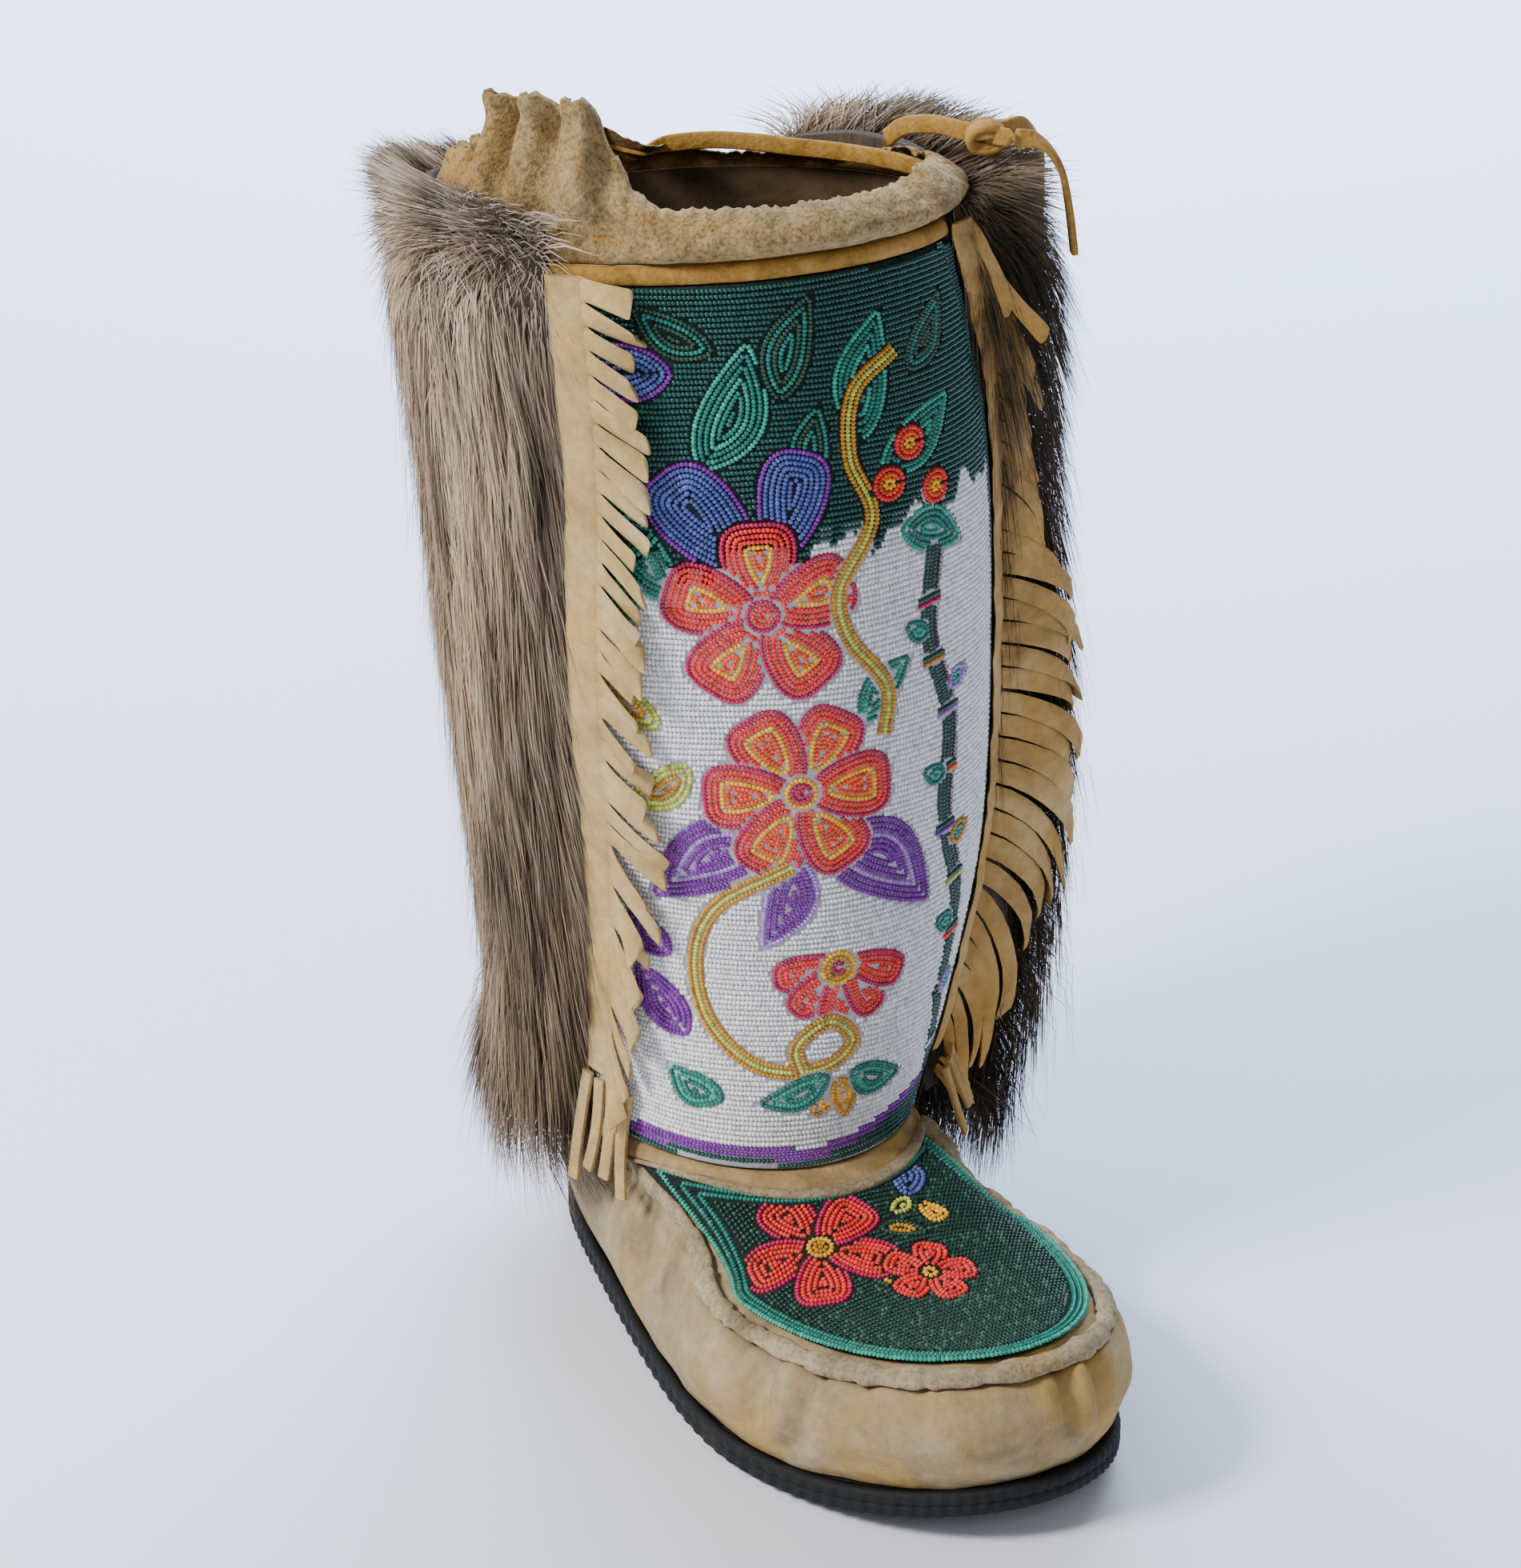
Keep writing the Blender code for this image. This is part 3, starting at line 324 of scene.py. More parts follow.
def skin_normal(angle, level):
    around = skin(angle + 0.01, level) - skin(angle - 0.01, level)
    along = skin(angle, np.minimum(LAST, level + 0.02)) - skin(angle, np.maximum(0, level - 0.02))
    return unit(np.cross(around, along))


def hide(angle, level, offset=0.0):
    angle, level = np.broadcast_arrays(np.asarray(angle, float), np.asarray(level, float))
    return skin(angle, level) + skin_normal(angle, level) * np.asarray(offset, float)[..., None]


def edge_angle(level, share):
    s = section_at(level)
    return np.radians(mix(s[..., 9], s[..., 10], share))


def arc_per_radian(angle, level):
    return np.linalg.norm(skin(angle + 0.01, level) - skin(angle - 0.01, level), axis=-1) / 0.02


def level_at_height(angle, height):
    angle, height = np.broadcast_arrays(np.asarray(angle, float), np.asarray(height, float))
    low = np.full(angle.shape, float(SEAM))
    high = np.full(angle.shape, float(LAST))
    for _ in range(32):
        middle = (low + high) / 2
        under = skin(angle, middle)[..., 2] < height
        low = np.where(under, middle, low)
        high = np.where(under, high, middle)
    return (low + high) / 2


def table(rows, place, column):
    """A column of a table at a place, eased from row to row."""
    rows = np.array(rows)
    place = np.clip(np.asarray(place, float), rows[0, 0], rows[-1, 0])
    i = np.clip(np.searchsorted(rows[:, 0], place, side="left") - 1, 0, len(rows) - 2)
    f = (place - rows[i, 0]) / (rows[i + 1, 0] - rows[i, 0])
    return mix(rows[i, column], rows[i + 1, column], smooth(f))


def over_leg(degrees, rise, offset):
    """Points above the leg's top: degrees from the toe, height above the edge, distance off the hide."""
    angle = np.radians(degrees)
    edge = skin(angle, TOP)[..., 2]
    return hide(angle, level_at_height(angle, edge + rise), offset)


# Mesh helpers
def new_object(name, points, faces, materials, sharp=None):
    """A mesh from an array of points and an array or a list of faces, smooth shaded."""
    mesh = bpy.data.meshes.new(name)
    points = np.asarray(points, float).reshape(-1, 3)
    if isinstance(faces, np.ndarray):
        size = faces.shape[1]
        mesh.vertices.add(len(points))
        mesh.vertices.foreach_set("co", points.ravel())
        mesh.loops.add(faces.size)
        mesh.loops.foreach_set("vertex_index", faces.ravel().astype(np.int32))
        mesh.polygons.add(len(faces))
        mesh.polygons.foreach_set("loop_start", np.arange(0, faces.size, size, dtype=np.int32))
        mesh.update(calc_edges=True)
    else:
        mesh.from_pydata([tuple(p) for p in points], [], [tuple(int(i) for i in f) for f in faces])
        mesh.update()
    for material in materials if isinstance(materials, (list, tuple)) else [materials]:
        mesh.materials.append(material)
    mesh.polygons.foreach_set("use_smooth", np.ones(len(mesh.polygons), bool))
    if sharp:
        mesh.set_sharp_from_angle(angle=math.radians(sharp))
    mesh.update()
    thing = bpy.data.objects.new(name, mesh)
    bpy.context.scene.collection.objects.link(thing)
    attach(thing, "root")
    return thing


def grid(rows, columns, wrap=False, start=0, flip=False):
    """Quads of a grid of points laid out row by row, as an array."""
    r = np.arange(rows - 1)[:, None]
    c = np.arange(columns if wrap else columns - 1)[None, :]
    d = (c + 1) % columns
    quads = np.stack([r * columns + c, r * columns + d, (r + 1) * columns + d, (r + 1) * columns + c], -1)
    quads = quads.reshape(-1, 4) + start
    return quads[:, ::-1] if flip else quads


def sheet_shell(outer, inner, wrap=False):
    """Points and quads of a closed wall between two grids of the same size."""
    rows, columns = outer.shape[:2]
    count = rows * columns
    points = np.concatenate([outer.reshape(-1, 3), inner.reshape(-1, 3)])
    faces = [grid(rows, columns, wrap), grid(rows, columns, wrap, start=count, flip=True)]
    rims = [np.arange(columns), (rows - 1) * columns + np.arange(columns)[::-1]]
    if wrap:
        rims = [np.append(rim, rim[0]) for rim in rims]
    else:
        rims.append(np.arange(rows) * columns + columns - 1)
        rims.append((np.arange(rows) * columns)[::-1])
    for rim in rims:
        faces.append(np.stack([rim[1:], rim[:-1], rim[:-1] + count, rim[1:] + count], -1))
    return points, np.concatenate(faces)


def join(parts):
    """Points and faces of several meshes as one."""
    points, faces = [], []
    total = 0
    for some, cells in parts:
        points.append(some)
        faces += [tuple(i + total for i in cell) for cell in cells]
        total += len(some)
    return np.concatenate(points), faces


NOISE_CELLS = 32


def value_noise(points, scale, seed):
    """Smooth seeded noise between -1 and 1 at points of any dimension, with cells of this size."""
    rng = np.random.default_rng(seed)
    lattice = rng.uniform(-1, 1, (NOISE_CELLS,) * points.shape[-1])
    p = points / scale
    base = np.floor(p).astype(int)
    f = smooth(p - base)
    total = 0.0
    for corner in np.ndindex(*(2,) * points.shape[-1]):
        index = tuple((base[..., k] + corner[k]) % NOISE_CELLS for k in range(points.shape[-1]))
        weight = 1.0
        for k, bit in enumerate(corner):
            weight = weight * (f[..., k] if bit else 1 - f[..., k])
        total = total + weight * lattice[index]
    return total


def line_noise(run, seed):
    """The same noise along one direction, with cells of 1."""
    return value_noise(np.stack([run, np.zeros(np.shape(run))], -1), 1.0, seed)


# Materials
class Paint:
    """A node material, built one node at a time."""

    def __init__(self, name, roughness=0.8, colour=(0.5, 0.5, 0.5), **sockets):
        self.material = bpy.data.materials.new(name)
        self.material.use_nodes = True
        self.tree = self.material.node_tree
        self.shader = self.tree.nodes["Principled BSDF"]
        self.put(self.shader, "Base Color", (*colour, 1))
        self.put(self.shader, "Roughness", roughness)
        self.material.diffuse_color = (*colour, 1)
        for key, value in sockets.items():
            self.put(self.shader, key.replace("_", " "), value)
        self.place = self.tree.nodes.new("ShaderNodeTexCoord").outputs["Object"]

    def put(self, node, socket, value):
        target = node.inputs[socket]
        if isinstance(value, bpy.types.NodeSocket):
            self.tree.links.new(value, target)
        else:
            target.default_value = value

    def stretch(self, scale):
        node = self.tree.nodes.new("ShaderNodeMapping")
        self.put(node, "Vector", self.place)
        self.put(node, "Scale", scale)
        return node.outputs["Vector"]

    def noise(self, scale, detail=3.0, rough=0.55, place=None, bend=0.0):
        node = self.tree.nodes.new("ShaderNodeTexNoise")
        self.put(node, "Vector", place or self.place)
        self.put(node, "Scale", scale)
        self.put(node, "Detail", detail)
        self.put(node, "Roughness", rough)
        self.put(node, "Distortion", bend)
        return node.outputs["Fac"]

    def attribute(self, name):
        node = self.tree.nodes.new("ShaderNodeAttribute")
        node.attribute_name = name
        return node.outputs["Fac"]

    def island(self):
        return self.tree.nodes.new("ShaderNodeNewGeometry").outputs["Random Per Island"]

    def ramp(self, source, *stops):
        node = self.tree.nodes.new("ShaderNodeValToRGB")
        self.put(node, "Fac", source)
        band = node.color_ramp
        while len(band.elements) > 1:
            band.elements.remove(band.elements[0])
        for k, (at, colour) in enumerate(stops):
            element = band.elements[0] if k == 0 else band.elements.new(at)
            element.position = at
            colour = colour if isinstance(colour, tuple) else (colour,) * 3
            element.color = (*colour, 1)
        return node.outputs["Color"]

    def math(self, kind, a, b):
        node = self.tree.nodes.new("ShaderNodeMath")
        node.operation = kind
        self.put(node, 0, a)
        self.put(node, 1, b)
        return node.outputs["Value"]

    def blend(self, factor, a, b, kind="MIX"):
        node = self.tree.nodes.new("ShaderNodeMix")
        node.data_type = "RGBA"
        node.blend_type = kind
        for socket, value in ((0, factor), (6, a), (7, b)):
            self.put(node, socket, (*value, 1) if isinstance(value, tuple) else value)
        return node.outputs[2]

    def bump(self, height, strength, distance):
        node = self.tree.nodes.new("ShaderNodeBump")
        self.put(node, "Height", height)
        self.put(node, "Strength", strength)
        self.put(node, "Distance", distance)
        return node.outputs["Normal"]

    def finish(self, colour=None, roughness=None, normal=None):
        if colour is not None:
            self.put(self.shader, "Base Color", colour)
        if roughness is not None:
            self.put(self.shader, "Roughness", roughness)
        if normal is not None:
            self.put(self.shader, "Normal", normal)
        return self.material


def suede(name, deep, base, light, golden, gold_share, fleck=0.0):
    """Brushed smoke-tanned hide: cloudy nap, fine fuzz and golden patches."""
    sheen = {"Sheen_Weight": 0.12, "Sheen_Roughness": 0.5, "Sheen_Tint": (*light, 1)}
    paint = Paint(name, 0.95, base, Specular_IOR_Level=0.2, **sheen)
    cloud = paint.noise(38, 5.0, 0.62, bend=0.6)
    patch = paint.noise(16, 4.0, 0.6, bend=1.2)
    fuzz = paint.noise(900, 4.0, 0.7)
    pore = paint.noise(260, 3.0, 0.6)
    colour = paint.ramp(cloud, (0.28, deep), (0.50, base), (0.72, light))
    gold = paint.ramp(patch, (0.62 - 0.22 * gold_share, 0.0), (0.74 - 0.18 * gold_share, 0.75))
    colour = paint.blend(gold, colour, golden)
    speckle = paint.ramp(pore, (0.32, 0.72), (0.62, 1.06))
    colour = paint.blend(0.55 + 0.4 * fleck, colour, speckle, "MULTIPLY")
    if fleck:
        knots = paint.ramp(paint.noise(760, 3.0, 0.6), (0.34, 0.45), (0.50, 1.0), (0.66, 1.2))
        colour = paint.blend(fleck, colour, knots, "MULTIPLY")
    height = paint.math("ADD", paint.math("MULTIPLY", fuzz, 0.5), pore)
    soft = paint.bump(height, 0.5 + 0.3 * fleck, 0.0010 + 0.0008 * fleck)
    rough = paint.ramp(cloud, (0.3, 0.86), (0.7, 1.0))
    return paint.finish(colour, rough, soft)


HIDE = suede(
    "smoked_suede", (0.21, 0.130, 0.050), (0.40, 0.265, 0.115),
    (0.52, 0.385, 0.20), (0.47, 0.28, 0.065), 0.35)
FOOT_HIDE = suede(
    "foot_suede", (0.19, 0.135, 0.065), (0.35, 0.265, 0.145),
    (0.45, 0.36, 0.22), (0.42, 0.255, 0.07), 0.75)
LIP_HIDE = suede(
    "lip_suede", (0.19, 0.140, 0.080), (0.36, 0.280, 0.165),
    (0.50, 0.405, 0.265), (0.40, 0.26, 0.095), 0.15, 0.6)
COLLAR_HIDE = suede(
    "collar_suede", (0.18, 0.110, 0.042), (0.33, 0.225, 0.098),
    (0.45, 0.33, 0.165), (0.39, 0.225, 0.06), 0.5, 0.85)
PALE_HIDE = suede(
    "fringe_suede", (0.31, 0.195, 0.070), (0.49, 0.335, 0.135),
    (0.60, 0.44, 0.22), (0.52, 0.325, 0.10), 0.35)
ORANGE_HIDE = suede(
    "fringe_suede_warm", (0.26, 0.140, 0.040), (0.44, 0.260, 0.085),
    (0.58, 0.39, 0.17), (0.49, 0.26, 0.05), 0.6)
# The collar's inside: the same suede made darker, painted shade for the shadow inside the collar.
COLLAR_INSIDE_SHADED = suede(
    "collar_inside_painted_shade", (0.06, 0.034, 0.013), (0.15, 0.088, 0.032),
    (0.24, 0.15, 0.06), (0.20, 0.105, 0.025), 0.5, 0.7)
# The upper's inside: the same suede made nearly black, painted shade for the shadow inside the boot.
SHADED_INSIDE_HIDE = suede(
    "inside_suede_painted_shade", (0.022, 0.013, 0.007), (0.050, 0.030, 0.014),
    (0.09, 0.058, 0.028), (0.07, 0.038, 0.012), 0.2)


def thong_material():
    paint = Paint("thong_hide_smooth", 0.8, (0.35, 0.185, 0.034), Specular_IOR_Level=0.18)
    cloud = paint.noise(90, 5.0, 0.65, bend=0.8)
    grain = paint.noise(650, 4.0, 0.65)
    tones = (0.3, (0.22, 0.105, 0.016)), (0.5, (0.35, 0.185, 0.034)), (0.72, (0.46, 0.27, 0.075))
    colour = paint.ramp(cloud, *tones)
    speckle = paint.ramp(grain, (0.34, 0.72), (0.6, 1.08))
    colour = paint.blend(0.8, colour, speckle, "MULTIPLY")
    rough = paint.ramp(grain, (0.3, 0.66), (0.7, 0.92))
    return paint.finish(colour, rough, paint.bump(grain, 0.5, 0.0010))


THONG = thong_material()


def rubber_material():
    paint = Paint("sole_rubber", 0.72, (0.013, 0.015, 0.016), Specular_IOR_Level=0.25)
    dust = paint.noise(60, 5.0, 0.65, bend=0.5)
    grain = paint.noise(1400, 2.0, 0.6)
    tones = (0.35, (0.006, 0.0075, 0.008)), (0.6, (0.012, 0.0135, 0.014)), (0.8, (0.040, 0.038, 0.034))
    colour = paint.ramp(dust, *tones)
    rough = paint.ramp(dust, (0.3, 0.62), (0.7, 0.88))
    return paint.finish(colour, rough, paint.bump(grain, 0.2, 0.0004))


RUBBER = rubber_material()


def felt_material():
    paint = Paint("insole_felt_grey", 0.97, (0.30, 0.25, 0.19), Sheen_Weight=0.3)
    fibre = paint.noise(500, 5.0, 0.7, bend=1.0)
    colour = paint.ramp(fibre, (0.3, (0.20, 0.165, 0.12)), (0.7, (0.38, 0.33, 0.25)))
    return paint.finish(colour, None, paint.bump(fibre, 0.5, 0.0008))


FELT = felt_material()


# Lines
def run_along(line):
    """Length of a line up to each of its points."""
    return np.concatenate([[0], np.cumsum(np.linalg.norm(np.diff(line, axis=0), axis=1))])


def points_at(line, run, at):
    """Points of a line at these lengths along it."""
    return np.stack([np.interp(at, run, line[:, k]) for k in range(line.shape[1])], -1)


def spline(points, count):
    """A smooth curve through points, with evenly spaced samples."""
    points = np.asarray(points, float)
    ends = np.concatenate([[2 * points[0] - points[1]], points, [2 * points[-1] - points[-2]]])
    out = []
    for a, b, c, d in zip(ends, ends[1:], ends[2:], ends[3:]):
        t = np.linspace(0, 1, 24, endpoint=False)[:, None]
        square = (2 * a - 5 * b + 4 * c - d) * t ** 2
        out.append(0.5 * (2 * b + (c - a) * t + square + (3 * b - a - 3 * c + d) * t ** 3))
    out.append(points[-1:])
    curve = np.concatenate(out)
    run = run_along(curve)
    return points_at(curve, run, np.linspace(0, run[-1], count))


FLAT_PROFILE = np.array([
    (-0.50, 0.0), (-0.47, 0.34), (-0.36, 0.47), (0.0, 0.50), (0.36, 0.47), (0.47, 0.34),
    (0.50, 0.0), (0.47, -0.34), (0.36, -0.47), (0.0, -0.50), (-0.36, -0.47), (-0.47, -0.34),
])


def sweep(centres, ups, width, thickness, profile=FLAT_PROFILE, taper=None, closed=False):
    """Points and faces of a profile carried along a path, with round closed ends."""
    centres = np.asarray(centres, float)
    if closed:
        run = unit(np.roll(centres, -1, 0) - np.roll(centres, 1, 0))
    else:
        run = unit(np.gradient(centres, axis=0))
    across = unit(np.cross(run, ups))
    up = unit(np.cross(across, run))
    taper = np.ones(len(centres)) if taper is None else np.asarray(taper, float)
    width = np.broadcast_to(width, taper.shape) * taper
    thickness = np.broadcast_to(thickness, taper.shape) * taper
    rows = centres[:, None] + across[:, None] * (profile[None, :, :1] * width[:, None, None])
    rows = rows + up[:, None] * (profile[None, :, 1:] * thickness[:, None, None])
    count, size = rows.shape[:2]
    points = rows.reshape(-1, 3)
    faces = [tuple(f) for f in grid(count, size, wrap=True)]
    if closed:
        last = (count - 1) * size
        faces += [(last + j, last + (j + 1) % size, (j + 1) % size, j) for j in range(size)]
    else:
        faces.append(tuple(range(size))[::-1])
        faces.append(tuple(range((count - 1) * size, count * size)))
    return points, faces


# Thong: the knot and its two loose ends
def thong_piece(name, centres):
    """A flat strip of hide along a path, its flat side turned to the leg."""
    out = centres - np.array([0.0, HEEL_REACH - LEG_CENTRE_REACH, 0.0])
    out[:, 2] = 0
    points, faces = sweep(centres, unit(out), STRING_WIDTH, THONG_THICKNESS)
    return new_object(name, points, faces, THONG)


def make_ties():
    loop = [over_leg(*place) for place in TIE_LOOP]
    front = [over_leg(*place) for place in TIE_END_FRONT]
    back = [over_leg(*place) for place in TIE_END_BACK]
    knot = over_leg(KNOT_ANGLE, KNOT_RISE, KNOT_OFF)
    whole = spline(np.array(loop + [knot] + front), 90)
    cord = thong_piece("tie_front", whole)
    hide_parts("tie_loop", "tie_end_front")
    tail = spline(np.array([knot] + back), 80)
    second = thong_piece("tie_back", tail)
    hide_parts("tie_end_back")
    bow = make_knot(knot)


# The knot's wraps: tilt, share of its size and shift along its axis
KNOT_WRAPS = ((0.35, 1.0, -0.0021), (-0.55, 0.92, 0.0018), (1.25, 0.78, 0.0002))


def make_knot(centre):
    """Three wraps of the thong pulled tight round one another."""
    angle = math.radians(KNOT_ANGLE)
    out = skin_normal(angle, float(TOP))
    along = unit(np.cross((0, 0, 1.0), out))
    up = np.cross(out, along)
    turn = np.linspace(0, 2 * math.pi, 28, endpoint=False)[:, None]
    wraps = []
    for tilt, size, shift in KNOT_WRAPS:
        axis = along * math.cos(tilt) + up * math.sin(tilt)
        side = np.cross(axis, out)
        around = out * np.cos(turn) + side * np.sin(turn) * 0.86
        ring = centre + axis * shift + around * KNOT_RADIUS * 0.80 * size
        outward = ring - centre - axis * shift
        wraps.append(sweep(ring, outward, THONG_WIDTH * 0.66, THONG_THICKNESS * 1.1, closed=True))
    points, faces = join(wraps)
    knot = new_object("tie_knot_wraps", points, faces, THONG)
    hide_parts("tie_knot")
    return knot


make_ties()


# Upper
def angle_gap(angle, centre):
    return np.abs((angle - centre + math.pi) % (2 * math.pi) - math.pi)


# Folds that run down from the lip: angle from the toe, half width in degrees, depth, level where it fades out
TOE_FOLDS = (
    (-57.0, 2.5, 0.0048, 0.9),
    (-47.5, 2.3, 0.0046, 0.8),
    (-64.0, 2.0, 0.0030, 1.9),
    (-38.0, 2.0, 0.0030, 2.0),
    (-27.0, 2.0, 0.0022, 2.2),
    (-14.0, 1.4, 0.0007, 2.5),
    (4.5, 2.4, 0.0044, 1.2),
    (13.5, 2.3, 0.0040, 1.3),
    (25.0, 2.0, 0.0014, 2.2),
    (36.0, 2.2, 0.0018, 1.8),
    (48.0, 2.4, 0.0014, 2.0),
    (58.0, 2.4, 0.0020, 1.6),
    (-72.0, 2.2, 0.0016, 1.9),
    (-81.0, 2.5, 0.0012, 2.0),
)
# Long soft troughs of the foot's sides: angle, level, angle half width, level half width, depth
SIDE_FOLDS = (
    (-70, 3.1, 9, 0.5, 0.0012),
    (-88, 2.4, 10, 0.6, 0.0016),
    (-101, 4.2, 8, 0.9, 0.0022),
    (-112, 6.2, 10, 0.7, 0.0020),
    (-125, 3.5, 12, 0.9, 0.0014),
    (82, 4.4, 9, 0.8, 0.0020),
    (96, 5.6, 9, 0.9, 0.0022),
    (110, 3.4, 10, 0.8, 0.0016),
    (150, 4.5, 14, 1.2, 0.0014),
    (-160, 5.2, 12, 1.1, 0.0014),
    (180, 2.6, 14, 0.8, 0.0010),
    (70, 2.6, 8, 0.5, 0.0012),
)


def hide_relief(angle, level):
    """Puckers, creases and gentle waves of the foot's hide, in metres outward."""
    angle, level = np.broadcast_arrays(np.asarray(angle, float), np.asarray(level, float))
    relief = np.zeros(angle.shape)
    for degrees, half, depth, fade in TOE_FOLDS:
        down = smooth((SEAM + 0.02 - level) / 0.15) * smooth((level - fade) / 1.2)
        lean = (SEAM - level) * math.radians(degrees * 0.03)
        gap = angle_gap(angle, math.radians(degrees) + lean) / math.radians(half)
        relief -= depth * np.exp(-gap ** 2) * down
        wide = gap / 2.6
        relief += depth * 0.55 * (np.exp(-wide ** 2) - np.exp(-(gap / 1.5) ** 2)) * down
    crease = np.exp(-((level - (SEAM - 0.10)) / 0.07) ** 2) * (1 - smooth((np.abs(angle) - 1.25) / 0.15))
    relief -= 0.0022 * crease
    puff = smooth((level - 1.2) / 1.2) * smooth((SEAM - level) / 0.35)
    relief += 0.0020 * puff
    for degrees, at, half, tall, depth in SIDE_FOLDS:
        gap = (angle_gap(angle, math.radians(degrees)) / math.radians(half)) ** 2 + ((level - at) / tall) ** 2
        relief -= depth * np.exp(-gap)
    where = skin(angle, level)
    foot = 1 - smooth((level - 7.0) / 1.5)
    relief += 0.0006 * value_noise(where, 0.017, 3) * foot
    relief += 0.0003 * value_noise(where, 0.006, 4) * foot
    return relief


# Rows of the hide's mesh, closest at the gathered lip: levels from, to, and rows
UPPER_ROWS = ((0.0, 2.6, 34), (2.6, 3.2, 18), (3.2, 8.0, 34), (8.0, 13.0, 22))
FOOT_ROWS = 80


def make_upper():
    columns = 288
    angle = np.linspace(-math.pi, math.pi, columns, endpoint=False)
    runs = [np.linspace(low, high, count) for low, high, count in UPPER_ROWS]
    levels = np.concatenate([runs[0]] + [run[1:] for run in runs[1:]])
    a, l = np.meshgrid(angle, levels)
    relief = hide_relief(a, l)
    outer = hide(a, l, relief)
    inner = hide(a, l, np.minimum(-HIDE_WALL, relief - 0.0010))
    margin = skin(angle, np.zeros(columns))
    centre = np.stack([np.zeros(columns), margin[:, 1] * 0.9 - 0.008, margin[:, 2]], -1)
    inward = unit((centre - margin) * np.array([1.0, 0.25, 0.0]))
    turned = margin + inward * UNDER_MARGIN
    turned[:, 2] = SOLE_TOP + spring_lift(turned[:, 1])
    top_turn = turned + np.array([0, 0, HIDE_WALL])
    outer = np.concatenate([turned[None], outer])
    inner = np.concatenate([top_turn[None], inner])
    points, faces = sheet_shell(outer, inner, wrap=True)
    upper = new_object("upper_hide", points, faces, [FOOT_HIDE, HIDE, SHADED_INSIDE_HIDE])
    index = np.zeros(len(faces), np.int32)
    cells = (len(outer) - 1) * columns
    index[:cells] = np.arange(cells) // columns > FOOT_ROWS
    # the inner wall takes the darkened suede, painted shade
    index[cells:2 * cells] = 2
    upper.data.polygons.foreach_set("material_index", index)
    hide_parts("upper")


make_upper()


# Gathered lip round the vamp: share across the front and rise above the seam where it turns the corner
LIP_CORNER = ((0.002, 0.40), (0.006, 0.28), (0.012, 0.18), (0.022, 0.10), (0.036, 0.04))
LIP_PROFILE = np.array([
    (-0.50, -0.10), (-0.52, 0.25), (-0.40, 0.62), (-0.15, 0.90), (0.12, 1.0), (0.36, 0.80),
    (0.52, 0.42), (0.50, 0.05), (0.2, -0.2), (-0.2, -0.2),
])


def make_welt():
    top = BEND - 0.70
    count = 420
    sides = [(0.0, mix(top, SEAM + 0.5, k / 39)) for k in range(40)]
    sides += [(share, SEAM + rise) for share, rise in LIP_CORNER]
    sides += [(share, float(SEAM)) for share in np.linspace(0.055, 0.5, 60)]
    path = sides + [(1 - share, level) for share, level in sides[:-1][::-1]]
    share = np.array([p[0] for p in path])
    level = np.array([p[1] for p in path])
    angle = edge_angle(level, share)
    centres = spline(hide(angle, level, 0.0010), count)
    ups = spline(skin_normal(angle, level), count)
    run = np.arange(count) / count
    wobble = line_noise(run * 60, 21)
    ripple = line_noise(run * 150, 22)
    centres = centres + unit(ups) * (wobble * 0.0004)[:, None]
    size = 1 + 0.20 * wobble + 0.18 * ripple
    points, faces = sweep(centres, ups, 0.0062 * size, 0.0027 * size, profile=LIP_PROFILE)
    welt = new_object("gathered_lip", points, faces, LIP_HIDE)
    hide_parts("vamp_seam_welt")


make_welt()


def front_grid(bottom, top, outer, inner, rows, columns):
    """Levels, shares across the front and angles of a grid between two levels and two shares."""
    levels, shares = np.linspace(bottom, top, rows), np.linspace(outer, inner, columns)
    level, share = np.meshgrid(levels, shares, indexing="ij")
    return level, share, edge_angle(level, share)


def front_strip(name, bottom, top, outer, inner, lift, thickness, material, crown, rows, columns):
    """A slab across the front between two levels, its face crowned between its edges."""
    level, _, angle = front_grid(bottom, top, outer, inner, rows, columns)
    f = (level - bottom) / (top - bottom)
    rise = lift + thickness * (1 - crown + crown * np.sqrt(np.maximum(0, 1 - (2 * f - 1) ** 2)))
    face = hide(angle, level, rise + 0.0003 * value_noise(hide(angle, level), 0.006, 31))
    points, faces = sheet_shell(face, hide(angle, level, lift))
    return new_object(name, points, faces, material, sharp=60)


binding = front_strip("base_binding_hide", 7.36, 7.98, 0.01, 0.99, GAP, 0.0034, HIDE, 0.45, 14, 120)
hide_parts("base_binding")
raw_edge = front_strip("base_binding_raw_edge", 7.16, 7.42, 0.02, 0.98, 0.0026, 0.0016, LIP_HIDE, 0.5, 8, 160)
piping = front_strip("top_piping_hide", 12.905, 12.998, 0.0, 1.0, GAP, 0.0026, THONG, 0.6, 10, 140)
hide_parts("top_piping")


# Beadwork: from row to row, from bead to bead, and the step at which its lines are followed
ROW = 0.00176
PITCH = 0.00128
LINE_STEP = 0.0004
# Motifs are drawn in millimetres
MILLIMETRES = 1000


def bead_paint(name, colour, rough, painted_glint, dark=0.62, light=1.18, pale=None):
    """Glass seed beads of one colour: each bead a little lighter or darker, a share of them given a painted
    glint, a paler colour standing in for their highlights.
    """
    paint = Paint(name, rough, colour, Specular_IOR_Level=0.45)
    one = paint.island()
    tone = paint.ramp(one, (0.0, dark), (0.35, 0.95), (0.8, 1.0), (1.0, light))
    made = paint.blend(1.0, colour, tone, "MULTIPLY")
    # pale is the painted glint's colour, a lighter copy of the bead's own colour unless given
    pale = pale or tuple(min(1.0, c * 1.3 + 0.03) for c in colour)
    # the share of beads that take the painted glint, picked at random bead by bead
    painted_glint_share = paint.ramp(one, (1 - painted_glint * 0.3, 0.0), (1 - painted_glint * 0.3 + 0.01, 0.8))
    return paint.finish(paint.blend(painted_glint_share, made, pale))
